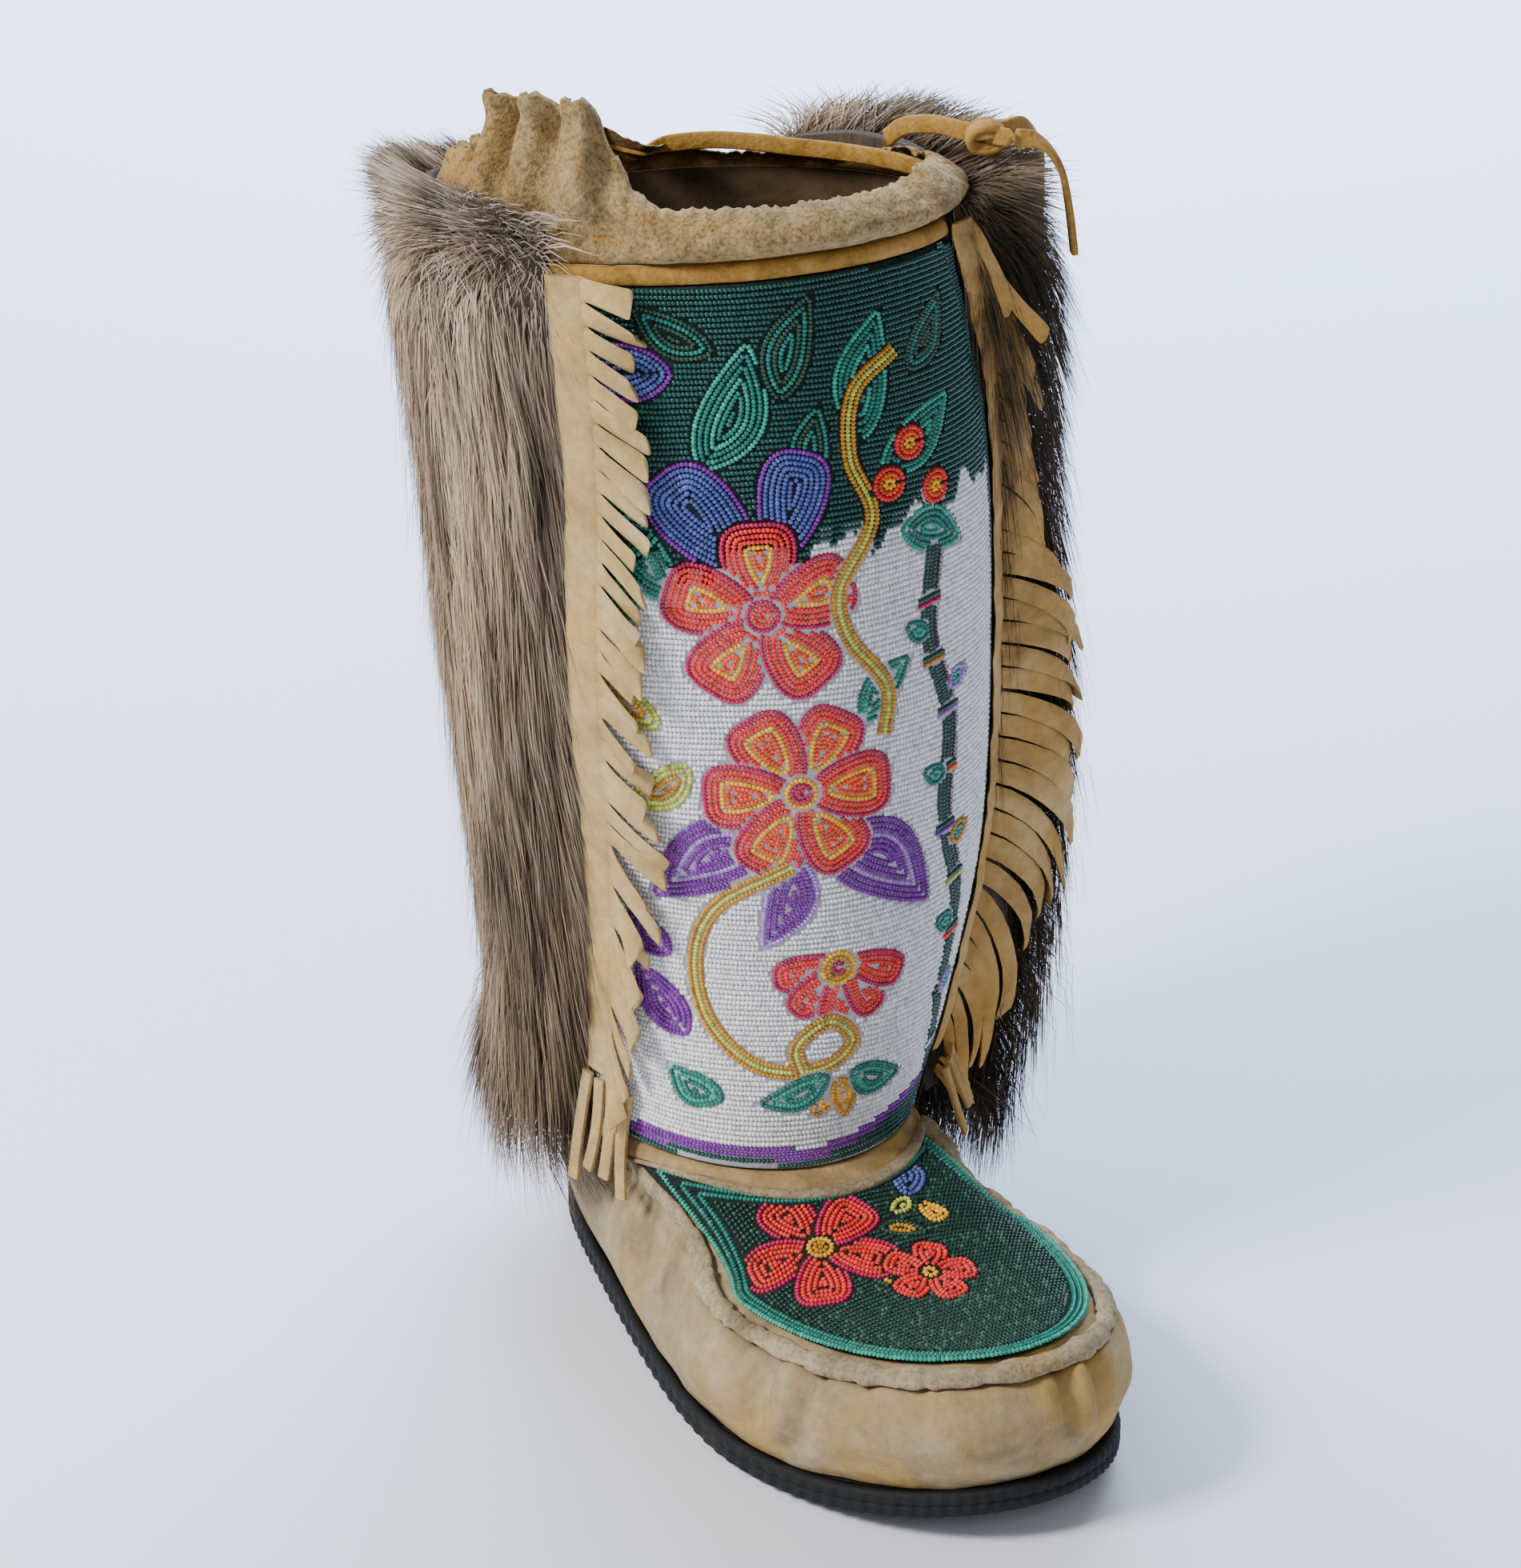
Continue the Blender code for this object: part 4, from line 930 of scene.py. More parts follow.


# The number after each roughness is the share of beads with a painted glint; the cut green beads of the vamp
# carry the most, a painted sparkle in a paler green.
BEADS = {
    "white": bead_paint("beads_white", (0.86, 0.86, 0.84), 0.25, 0.0, 0.84, 1.06),
    "pearl": bead_paint("beads_pearl", (0.74, 0.75, 0.76), 0.2, 0.2, 0.8, 1.1),
    "green": bead_paint("beads_dark_green", (0.004, 0.060, 0.046), 0.14, 0.0),
    "glitter": bead_paint("beads_cut_green", (0.008, 0.045, 0.028), 0.16, 0.45, pale=(0.045, 0.12, 0.075)),
    "moss": bead_paint("beads_moss", (0.014, 0.060, 0.030), 0.18, 0.12),
    "teal": bead_paint("beads_teal", (0.008, 0.170, 0.125), 0.2, 0.1),
    "mint": bead_paint("beads_mint", (0.025, 0.330, 0.225), 0.2, 0.1),
    "coral": bead_paint("beads_coral", (0.80, 0.030, 0.026), 0.3, 0.0),
    "magenta": bead_paint("beads_magenta", (0.50, 0.004, 0.070), 0.3, 0.0),
    "orange": bead_paint("beads_orange", (0.86, 0.075, 0.003), 0.3, 0.0),
    "yellow": bead_paint("beads_yellow", (0.90, 0.430, 0.004), 0.3, 0.0),
    "gold": bead_paint("beads_gold", (0.56, 0.250, 0.012), 0.25, 0.0),
    "lime": bead_paint("beads_lime", (0.58, 0.600, 0.080), 0.3, 0.0),
    "violet": bead_paint("beads_violet", (0.19, 0.012, 0.300), 0.2, 0.1),
    "blue": bead_paint("beads_blue", (0.075, 0.105, 0.340), 0.22, 0.1),
    "lilac": bead_paint("beads_lilac", (0.42, 0.22, 0.62), 0.25, 0.1),
    "brown": bead_paint("beads_brown", (0.035, 0.015, 0.012), 0.2, 0.1),
}
BEAD_NAMES = list(BEADS)


def backing(name, dark, pale, **sockets):
    """Cloth under the beads, mottled between two colours."""
    paint = Paint(name, 0.95, **sockets)
    return paint.finish(paint.ramp(paint.noise(600, 3.0), (0.3, dark), (0.7, pale)))


PALE_CLOTH = backing("bead_backing_pale", (0.36, 0.36, 0.36), (0.52, 0.52, 0.53))
CLOTH = backing(
    "bead_backing", (0.008, 0.012, 0.010), (0.022, 0.030, 0.026),
    colour=(0.02, 0.025, 0.02), Specular_IOR_Level=0.1)


def inside(points, polygon):
    """Whether each point lies inside a closed polygon."""
    x, y = points[:, 0], points[:, 1]
    result = np.zeros(len(points), bool)
    for (ax, ay), (bx, by) in zip(polygon, np.roll(polygon, -1, 0)):
        crosses = (ay > y) != (by > y)
        if crosses.any():
            at = ax + (y - ay) * (bx - ax) / (by - ay if by != ay else 1e-12)
            result ^= crosses & (x < at)
    return result


def distance_to(points, line, closed):
    """Distance of each point from a line of segments."""
    best = np.full(len(points), 1e9)
    ends = np.roll(line, -1, 0) if closed else line[1:]
    starts = line if closed else line[:-1]
    for a, b in zip(starts, ends):
        run = b - a
        f = np.clip(((points - a) @ run) / max(run @ run, 1e-18), 0, 1)
        best = np.minimum(best, np.linalg.norm(points - a - f[:, None] * run, axis=1))
    return best


MOST_ROWS = 24


class Shape:
    """A closed outline filled with rows of beads that follow its edge."""

    def __init__(self, outline, *colours, per_metre=MILLIMETRES):
        self.outline = np.asarray(outline, float) / per_metre
        self.colours = colours

    def covers(self, points, margin):
        near = np.zeros(len(points), bool)
        low = self.outline.min(0) - abs(margin) - 1e-4
        high = self.outline.max(0) + abs(margin) + 1e-4
        maybe = ((points > low) & (points < high)).all(1)
        if not maybe.any():
            return near
        some = points[maybe]
        within = inside(some, self.outline)
        gap = distance_to(some, self.outline, True)
        near[maybe] = np.where(within, gap > -margin, gap < margin)
        return near

    def rows(self):
        dense = resample(self.outline, LINE_STEP, True)
        run = np.roll(dense, -1, 0) - np.roll(dense, 1, 0)
        area = np.sum(dense[:, 0] * np.roll(dense[:, 1], -1) - np.roll(dense[:, 0], -1) * dense[:, 1])
        inward = unit(np.stack([-run[:, 1], run[:, 0]], -1) * np.sign(area))
        for k in range(MOST_ROWS):
            deep = (k + 0.5) * ROW
            line = dense + inward * deep
            keep = inside(line, self.outline) & (distance_to(line, self.outline, True) > deep - 0.00012)
            if keep.sum() < 4:
                break
            colour = self.colours[min(k, len(self.colours) - 1)]
            for piece in stretches(line, keep):
                yield piece, colour


class Band:
    """Parallel rows of beads along an open line."""

    def __init__(self, line, *colours):
        self.line = np.asarray(line, float) / MILLIMETRES
        self.colours = colours

    def covers(self, points, margin):
        half = len(self.colours) * ROW / 2
        dense = resample(self.line, LINE_STEP, False)
        trim = min(int(half / LINE_STEP), len(dense) // 2 - 1)
        return distance_to(points, dense[trim:len(dense) - trim:4], False) < half + margin

    def rows(self):
        dense = resample(self.line, LINE_STEP, False)
        run = np.gradient(dense, axis=0)
        side = unit(np.stack([-run[:, 1], run[:, 0]], -1))
        for k, colour in enumerate(self.colours):
            yield dense + side * ((k - (len(self.colours) - 1) / 2) * ROW), colour


def resample(line, step, closed):
    line = np.concatenate([line, line[:1]]) if closed else line
    run = run_along(line)
    count = max(3, int(run[-1] / step))
    return points_at(line, run, np.linspace(0, run[-1], count, endpoint=not closed))


def stretches(line, keep):
    """The kept parts of a closed line, each one unbroken."""
    if keep.all():
        return [np.concatenate([line, line[:1]])]
    start = int(np.argmin(keep))
    line = np.roll(line, -start, 0)
    keep = np.roll(keep, -start)
    parts = []
    current = []
    for p, k in zip(line, keep):
        if k and (not current or np.linalg.norm(p - current[-1]) < 0.0012):
            current.append(p)
        else:
            if len(current) > 2:
                parts.append(np.array(current))
            current = [p] if k else []
    if len(current) > 2:
        parts.append(np.array(current))
    return parts


def strung(line):
    """Bead centres and directions at an even pitch along a line."""
    run = run_along(line)
    count = int(run[-1] / PITCH)
    if count < 1:
        return np.zeros((0, 2)), np.zeros((0, 2))
    slack = (run[-1] - count * PITCH) / 2
    at = slack + (np.arange(count) + 0.5) * PITCH
    ahead = points_at(line, run, at + PITCH * 0.4)
    behind = points_at(line, run, at - PITCH * 0.4)
    return points_at(line, run, at), unit(ahead - behind)


def lay_beads(motifs, ground):
    """Every bead of a beaded face: motifs in order, later ones on top, and the ground's rows between them."""
    places, ways, colours = [], [], []

    def add(place, way, colour):
        places.append(place)
        ways.append(way)
        colours.append(np.full(len(place), BEAD_NAMES.index(colour)) if isinstance(colour, str) else colour)

    for k, motif in enumerate(motifs):
        taken = np.zeros((0, 2))
        for line, colour in motif.rows():
            place, way = strung(line)
            keep = np.ones(len(place), bool)
            for later in motifs[k + 1:]:
                keep &= ~later.covers(place, ROW * 0.40)
            place, way = place[keep], way[keep]
            if len(taken) and len(place):
                gap = np.linalg.norm(place[:, None] - taken[None], axis=2).min(1)
                place, way = place[gap > PITCH * 0.72], way[gap > PITCH * 0.72]
            if len(place):
                taken = np.concatenate([taken, place])
                add(place, way, colour)
    for line, colour in ground:
        place, way = strung(line)
        keep = np.ones(len(place), bool)
        for motif in motifs:
            keep &= ~motif.covers(place, ROW * 0.30)
        chosen = colour(place[keep]) if callable(colour) else colour
        add(place[keep], way[keep], chosen)
    return np.concatenate(places), np.concatenate(ways), np.concatenate(colours)


def petal(centre, degrees, length, width, fat=0.55, point=1.0, start=0.0):
    """A rounded petal or leaf that grows from a centre in a direction."""
    t = np.linspace(0, math.pi, 26)
    along = (1 - np.cos(t)) / 2
    half = np.sin(t) ** point * (1 + 0.55 * (along - fat)) * width / 2
    axis = np.array([math.cos(math.radians(degrees)), math.sin(math.radians(degrees))])
    side = np.array([-axis[1], axis[0]])
    base = np.asarray(centre, float) + axis * start
    left = base + axis * (along * length)[:, None] + side * half[:, None]
    right = base + axis * (along * length)[:, None] - side * half[:, None]
    return np.concatenate([left, right[::-1][1:-1]])


def leaf(base, tip, width, bow=0.0):
    """A leaf with a point at its tip, its middle line bowed to one side."""
    base, tip = np.asarray(base, float), np.asarray(tip, float)
    t = np.linspace(0, 1, 24)
    run = tip - base
    side = np.array([-run[1], run[0]]) / np.linalg.norm(run)
    middle = base + t[:, None] * run + side * (np.sin(math.pi * t) * bow)[:, None]
    half = np.sin(math.pi * t ** 0.80) ** 0.85 * width / 2
    return np.concatenate([middle + side * half[:, None], (middle - side * half[:, None])[::-1][1:-1]])


def disc(centre, radius, wide=1.0):
    t = np.linspace(0, 2 * math.pi, 40, endpoint=False)
    return np.asarray(centre) + np.stack([np.cos(t) * radius * wide, np.sin(t) * radius], -1)


def curve2(*points):
    points = np.array(points, float)
    flat = np.concatenate([points, np.zeros((len(points), 1))], 1)
    return spline(flat, 90)[:, :2]


def rosette(centre, count, length, width, turn, colours, heart=("magenta", "coral")):
    """A flower of round petals and a round heart."""
    centre = np.asarray(centre, float)
    made = []
    for k in range(count):
        degrees = turn + 360 * k / count
        made.append(Shape(petal(centre, degrees, length, width, 0.42, 0.62, length * 0.10), *colours))
    made.append(Shape(disc(centre, length * 0.20), *heart))
    return made


# Where the beads lie: across and up the front, in metres from its middle line and its lower edge
PANEL_BOTTOM, PANEL_TOP = 8.02, 12.90
PANEL_MIDDLE = -9.0
GRID_ROWS, GRID_COLUMNS = 150, 161


def panel_grid():
    level, _, angle = front_grid(PANEL_BOTTOM, PANEL_TOP, 0, 1, GRID_ROWS, GRID_COLUMNS)
    points = hide(angle, level, PANEL_LIFT + BEAD_LAYER)
    across = np.stack([run_along(row) for row in points])
    zero = np.array([np.interp(np.radians(PANEL_MIDDLE), a, s) for a, s in zip(angle, across)])
    across = across - zero[:, None]
    line = np.stack([row[np.argmin(np.abs(s))] for row, s in zip(points, across)])
    return level[:, 0], angle, across, run_along(line)


GRID_LEVELS, PANEL_ANGLE, PANEL_ACROSS, PANEL_UP = panel_grid()
PANEL_HEIGHT = float(PANEL_UP[-1])


def panel_edges(t):
    """Left and right ends of the panel at a height, in metres from the middle line."""
    left = np.interp(t, PANEL_UP, PANEL_ACROSS[:, 0])
    right = np.interp(t, PANEL_UP, PANEL_ACROSS[:, -1])
    return left, right


def on_panel(place, lift):
    """Points and normals on the panel for places across and up it."""
    place = np.asarray(place, float)
    row = np.interp(place[:, 1], PANEL_UP, np.arange(len(PANEL_UP)))
    low = np.clip(row.astype(int), 0, len(PANEL_UP) - 2)
    f = row - low
    angle = np.zeros(len(place))
    for k in np.unique(low):
        some = low == k
        a = np.interp(place[some, 0], PANEL_ACROSS[k], PANEL_ANGLE[k])
        b = np.interp(place[some, 0], PANEL_ACROSS[k + 1], PANEL_ANGLE[k + 1])
        angle[some] = mix(a, b, f[some])
    level = np.interp(row, np.arange(len(GRID_LEVELS)), GRID_LEVELS)
    return hide(angle, level, lift), skin_normal(angle, level)


# A bead's rings, by place along it and width, and the angles of each ring's points
BEAD_RINGS = ((-0.47, 0.50), (0.0, 1.05), (0.47, 0.50))
BEAD_TURNS = (-0.15, 0.72, 1.57, 2.42, 3.29)
BEAD_HEIGHT = 0.0009
# How far a bead's middle lies below the beadwork's face
BEAD_SINK = 0.0007
BEAD_LIFT = PANEL_LIFT + BEAD_LAYER - BEAD_SINK
# How near a bead's middle may come to the panel's edge
BEAD_MARGIN = 0.0006


def bead_mesh(name, points, normals, ways, colours, seed, only=None):
    """One small glass barrel for each bead, its lower half in the cloth."""
    if only is not None:
        keep = np.isin(colours, only)
        points, normals, ways, colours = points[keep], normals[keep], ways[keep], colours[keep]
    count = len(points)
    rng = np.random.default_rng(seed)
    side = unit(np.cross(normals, ways))
    ways = unit(np.cross(side, normals))
    scale = rng.uniform(0.92, 1.08, count)[:, None]
    lift = rng.uniform(-0.00010, 0.00010, count)[:, None]
    tilt = rng.normal(0, 0.05, count)[:, None]
    ways = unit(ways + normals * tilt)
    verts = []
    for along, wide in BEAD_RINGS:
        for turn in BEAD_TURNS:
            w = math.cos(turn) * ROW * 0.50 * wide * scale
            h = math.sin(turn) * BEAD_HEIGHT * wide * scale + lift
            verts.append(points + ways * (along * PITCH * 1.02) + side * w + normals * h)
    verts = np.stack(verts, 1)
    quads = grid(len(BEAD_RINGS), len(BEAD_TURNS))
    faces = (quads[None] + (np.arange(count) * verts.shape[1])[:, None, None]).reshape(-1, 4)
    used = sorted(set(colours.tolist()))
    beads = new_object(name, verts, faces, [BEADS[BEAD_NAMES[c]] for c in used])
    index = np.searchsorted(used, colours)
    beads.data.polygons.foreach_set("material_index", np.repeat(index, len(quads)).astype(np.int32))
    return beads


# Leaves of the front in millimetres, the lowest layer first: foot, tip, width, bow, colours from the edge in
GROUND_LEAVES = (
    ((-40, 190), (-58, 226), 17, 3, "mint teal teal mint teal"),
    ((-30, 232), (-12, 272), 20, -3, "mint teal teal mint teal"),
    ((18, 236), (30, 276), 19, 3, "mint teal teal mint teal"),
    ((24, 226), (56, 244), 17, -2, "mint teal teal mint teal"),
    ((30, 206), (58, 196), 15, 2, "mint teal teal mint"),
    ((-34, 262), (-66, 268), 19, 2, "violet blue blue blue blue"),
    ((-66, 240), (-46, 252), 12, 2, "moss teal moss"),
    ((-64, 212), (-42, 214), 14, -2, "mint teal moss"),
    ((-6, 252), (8, 284), 15, 2, "moss teal moss teal"),
    ((38, 254), (58, 276), 14, -2, "moss teal moss"),
    ((2, 226), (6, 250), 12, 2, "teal moss teal"),
    ((-52, 196), (-70, 184), 14, 2, "mint teal teal"),
    ((-22, 268), (-44, 284), 13, 2, "moss teal moss"),
)
LOWER_LEAVES = (
    ((-14, 116), (-56, 92), 24, -4, "violet violet violet lilac violet"),
    ((-4, 112), (36, 82), 26, 5, "violet violet violet lilac violet"),
    ((-10, 108), (-22, 76), 17, 3, "lilac violet violet"),
    ((12, 148), (32, 166), 13, 2, "teal mint teal"),
    ((-40, 138), (-62, 122), 13, 2, "lime lime gold"),
    ((-48, 150), (-70, 166), 12, 1, "lime lime gold"),
    ((-44, 44), (-62, 68), 16, 1, "violet violet violet"),
    ((-50, 72), (-64, 86), 12, 1, "violet violet"),
    ((-30, 22), (-50, 32), 13, 2, "teal mint teal teal"),
)
FOOT_LEAVES = (
    ((4, 30), (-2, 16), 9, 1, "gold yellow yellow"),
    ((4, 30), (10, 14), 9, 1, "gold yellow yellow"),
    ((2, 31), (-20, 22), 12, 2, "teal mint teal"),
    ((8, 31), (30, 25), 12, -2, "teal mint teal"),
)
# The side vine's leaves: where each starts, its direction in degrees and its edge's colour
VINE_LEAVES = (
    (40, 170, 150, "teal"),
    (48, 150, 20, "lilac"),
    (45, 122, 160, "teal"),
    (47, 98, 15, "gold"),
    (51, 70, 165, "teal"),
    (48, 46, 10, "lilac"),
)
VINE_KNOTS = "magenta gold lilac orange violet lime coral brown pearl".split()
# Directions of the half-open flower's petals
BUD_TURNS = (190, 225, 262, 300, 338)


def leaves(rows):
    return [Shape(leaf(foot, tip, width, bow), *colours.split()) for foot, tip, width, bow, colours in rows]


def panel_motifs():
    """The flowers, leaves and stems of the front, from the lowest layer up."""
    motifs = leaves(GROUND_LEAVES)
    motifs.append(Shape(petal((-18, 200), 128, 40, 25, 0.5, 0.7), "violet", "blue", "blue", "blue", "blue"))
    motifs.append(Shape(petal((-10, 204), 74, 34, 21, 0.5, 0.7), "violet", "blue", "blue", "blue"))
    motifs += leaves(LOWER_LEAVES)
    motifs += rosette((-16, 186), 5, 27, 21, 90, ("magenta", "coral", "coral", "coral", "yellow", "orange"))
    six = ("magenta", "coral", "coral", "yellow", "orange")
    motifs += rosette((-8, 128), 6, 27, 20, 60, six, ("yellow", "magenta", "magenta"))
    stem = curve2((34, 262), (18, 252), (14, 232), (20, 212), (8, 192), (10, 176), (22, 158), (20, 142))
    bud = [Shape(petal((4, 70), turn, 23, 12, 0.5, 0.7), "magenta", "coral", "coral") for turn in BUD_TURNS]
    motifs += bud[:1] + [Band(stem, "gold", "lime", "gold")] + bud[1:]
    motifs.append(Shape(disc((2, 68), 6.0), "yellow", "gold", "magenta"))
    tendril = curve2(
        (-12, 104), (-34, 92), (-42, 74), (-38, 52), (-22, 36),
        (-2, 34), (8, 42), (0, 50), (-10, 42), (-6, 30))
    motifs.append(Band(tendril, "gold", "lime", "gold"))
    vine = curve2((44, 198), (40, 170), (48, 140), (44, 108), (52, 76), (48, 40), (54, 8))
    motifs.append(Band(vine, "green", "moss", "green", "brown"))
    for k, colour in enumerate(VINE_KNOTS):
        spot = vine[8 + k * 9]
        motifs.append(Band([spot - (5.5, 0.4), spot + (5.5, 0.4)], colour, "green"))
    for s, t, turn, colour in VINE_LEAVES:
        axis = np.array([math.cos(math.radians(turn)), math.sin(math.radians(turn))])
        motifs.append(Shape(leaf((s, t), (s, t) + axis * 12, 7.5, 0.5), colour, "mint"))
    for centre in ((36, 232), (46, 216), (27, 221)):
        motifs.append(Shape(disc(centre, 5.6, 1.1), "coral", "orange", "yellow"))
    return motifs + leaves(FOOT_LEAVES)


def green_edge(s):
    """Height where the dark ground of the panel's top gives way to the white one, by place across."""
    return 0.197 + 0.30 * (s + 0.055) * 0.42 + 0.0035 * np.sin(s * 230) + 0.0022 * np.sin(s * 520 + 1)


# Rows of dark beads along the panel's outer and inner edge
EDGE_ROWS = (2, 3)
# Height of the violet line between the panel's dark foot and its white ground
FOOT_LINE = 0.0038


def panel_ground():
    """Rows of beads behind the motifs: white, with dark ones at the panel's top, foot and edges."""
    ground = []
    rows = int(PANEL_HEIGHT / ROW)
    rng = np.random.default_rng(5)

    def tone(place):
        dark = place[:, 1] > green_edge(place[:, 0])
        line_top = 0.0062 + 0.010 * smooth(place[:, 0] / 0.05)
        line = (place[:, 1] < line_top) & (place[:, 1] > line_top - FOOT_LINE)
        under = place[:, 1] <= line_top - FOOT_LINE
        grey = rng.uniform(0, 1, len(place)) < 0.22
        pick = np.where(grey, BEAD_NAMES.index("pearl"), BEAD_NAMES.index("white"))
        pick = np.where(line, BEAD_NAMES.index("violet"), pick)
        return np.where(under | dark, BEAD_NAMES.index("green"), pick)

    for k in range(rows):
        t = (k + 0.5) * PANEL_HEIGHT / rows
        left, right = panel_edges(t)
        wave = 0.0004 * math.sin(k * 0.7)
        first, last = left + (EDGE_ROWS[0] + 0.2) * ROW, right - (EDGE_ROWS[1] + 0.2) * ROW
        s = np.linspace(first + wave, last + wave, 60)
        dip = 0.0005 * np.sin(s * 60 + k * 0.11)
        ground.append((np.stack([s, t + dip], -1), tone))
    t = np.linspace(0.001, PANEL_HEIGHT - 0.001, 200)
    for edge, count, inward in zip(panel_edges(t), EDGE_ROWS, (1, -1)):
        for j in range(count):
            ground.append((np.stack([edge + (j + 0.5) * ROW * inward, t], -1), "green"))
    return ground


def make_panel_beads():
    place, way, colour = lay_beads(panel_motifs(), panel_ground())
    left, right = panel_edges(place[:, 1])
    keep = (place[:, 0] > left + BEAD_MARGIN) & (place[:, 0] < right - BEAD_MARGIN)
    keep &= (place[:, 1] > BEAD_MARGIN) & (place[:, 1] < PANEL_HEIGHT - BEAD_MARGIN)
    place, way, colour = place[keep], way[keep], colour[keep]
    points, normals = on_panel(place, BEAD_LIFT)
    ahead, _ = on_panel(place + way * 0.0006, BEAD_LIFT)
    ways = unit(ahead - points)
    pale = [BEAD_NAMES.index(n) for n in ("white", "pearl", "lilac")]
    dark = [BEAD_NAMES.index("green")]
    rest = [i for i in range(len(BEAD_NAMES)) if i not in pale + dark]
    for name, some in (("panel_beads_pale", pale), ("panel_beads_dark", dark), ("panel_beads_flowers", rest)):
        beads = bead_mesh(name, points, normals, ways, colour, 7, some)


def make_panel_cloth():
    """The cloth that shows between the beads, pale under the white ones."""
    level, share, angle = front_grid(PANEL_BOTTOM, PANEL_TOP, 0, 1, 64, 48)
    points, faces = sheet_shell(hide(angle, level, BEAD_LIFT - 0.0001), hide(angle, level, PANEL_LIFT))
    cloth = new_object("panel_cloth", points, faces, [CLOTH, PALE_CLOTH])
    height = np.interp(level, GRID_LEVELS, PANEL_UP)
    left, right = panel_edges(height)
    pale_cell = (height < green_edge(mix(left, right, share)))[:-1, :-1].ravel()
    pale_cell &= ((share > 0.03) & (share < 0.965))[:-1, :-1].ravel()
    index = np.zeros(len(faces), np.int32)
    index[:len(pale_cell)] = pale_cell
    cloth.data.polygons.foreach_set("material_index", index)
    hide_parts("front_bead_panel")


make_panel_beads()
make_panel_cloth()


def vamp_outline():
    """The beaded plug's face as a grid to drop beads on, and its outline in plan."""
    level, _, angle = front_grid(3.35, 7.42, 0.05, 0.95, 60, 60)
    face = hide(angle, level, GAP + BEAD_LAYER - BEAD_SINK)
    rim = np.concatenate([face[0], face[1:, -1], face[-1, :-1][::-1], face[1:-1, 0][::-1]])
    return face, rim[:, :2]


def rounded(outline):
    for _ in range(5):
        outline = (np.roll(outline, 1, 0) + outline * 2 + np.roll(outline, -1, 0)) / 4
    return outline


def vamp_motifs(middle):
    """The plug's flowers and leaves round the middle of its outline in plan, in millimetres."""

    def at(x, y):
        return (middle[0] * MILLIMETRES + x, middle[1] * MILLIMETRES + y)

    motifs = [Band(curve2(at(-8, -12), at(0, -24), at(10, -20)), "moss", "gold")]
    motifs += rosette(at(-14, 4), 5, 22, 16, 100, ("magenta", "coral", "coral", "coral"), ("yellow", "gold"))
    motifs += rosette(at(10, -20), 5, 13, 10, 60, ("coral", "coral"), ("yellow", "gold"))
    motifs.append(Shape(petal(at(22, 14), 60, 15, 11, 0.5, 0.7), "blue", "blue", "blue"))
    motifs.append(Shape(leaf(at(22, 13), at(12, 8), 6, 0.5), "lime", "lime"))
    motifs.append(Shape(petal(at(24, 10), 290, 10, 8, 0.5, 0.7), "yellow", "yellow"))
    motifs.append(Shape(leaf(at(6, 4), at(20, -4), 8, 1), "moss", "gold", "moss"))
    return motifs


def make_vamp():
    face, outline = vamp_outline()
    outline = rounded(resample(outline, 0.002, True))
    quads = [tuple(f) for f in grid(*face.shape[:2])]
    tree = BVHTree.FromPolygons([Vector(p) for p in face.reshape(-1, 3)], quads)
    border = Shape(outline, "teal", per_metre=1)
    cx, cy = outline.mean(0)
    motifs = vamp_motifs((cx, cy))
    ground = []
    low, high = outline.min(0), outline.max(0)
    count = int((high[1] - low[1]) / ROW)
    for k in range(count):
        y = low[1] + (k + 0.5) * ROW
        x = np.linspace(low[0], high[0], 80)
        bow = 0.0030 * (1 - ((x - cx) / (high[0] - low[0]) * 2) ** 2)
        # the vamp's ground of cut green beads, a share of them with a painted glint
        ground.append((np.stack([x, y + bow], -1), "glitter"))
    place, way, colour = lay_beads(motifs, ground)
    keep = inside(place, outline) & (distance_to(place, outline, True) > 3.4 * ROW)
    place, way, colour = place[keep], way[keep], colour[keep]
    for k, (piece, _) in enumerate(border.rows()):
        if distance_to(piece[:1], outline, True)[0] > 3.3 * ROW:
            continue
        spots, along = strung(piece)
        place = np.concatenate([place, spots])
        way = np.concatenate([way, along])
        colour = np.concatenate([colour, np.full(len(spots), BEAD_NAMES.index("mint" if k == 0 else "teal"))])
    points, normals, ways, good = [], [], [], []
    for i, ((x, y), (dx, dy)) in enumerate(zip(place, way)):
        hit, normal, _, _ = tree.ray_cast(Vector((x, y, 0.2)), Vector((0, 0, -1)))
        if hit is None:
            continue
        if normal.z < 0:
            normal = -normal
        flat = Vector((dx, dy, 0))
        flat = flat - normal * flat.dot(normal)
        points.append(hit)
        normals.append(normal)
        ways.append(flat)
        good.append(i)
    points, normals, ways = np.array(points), np.array(normals), unit(np.array(ways))
    colour = colour[np.array(good)]
    beads = bead_mesh("vamp_beads", points, normals, ways, colour, 8)
    level, _, angle = front_grid(3.47, 7.38, 0.072, 0.928, 60, 60)
    points, faces = sheet_shell(hide(angle, level, GAP + BEAD_LAYER - 0.0008), hide(angle, level, GAP))
    cloth = new_object("vamp_cloth", points, faces, CLOTH)
    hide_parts("vamp_plug")


make_vamp()


# Fringes
def drop_level(share, level, drop):
    angle = edge_angle(level, share)
    return level_at_height(angle, skin(angle, level)[..., 2] - drop)


def round_leg(share, level, run, offset):
    angle = edge_angle(level, share)
    angle = angle + run / arc_per_radian(angle, level)
    return hide(angle, level, offset), skin_normal(angle, level)


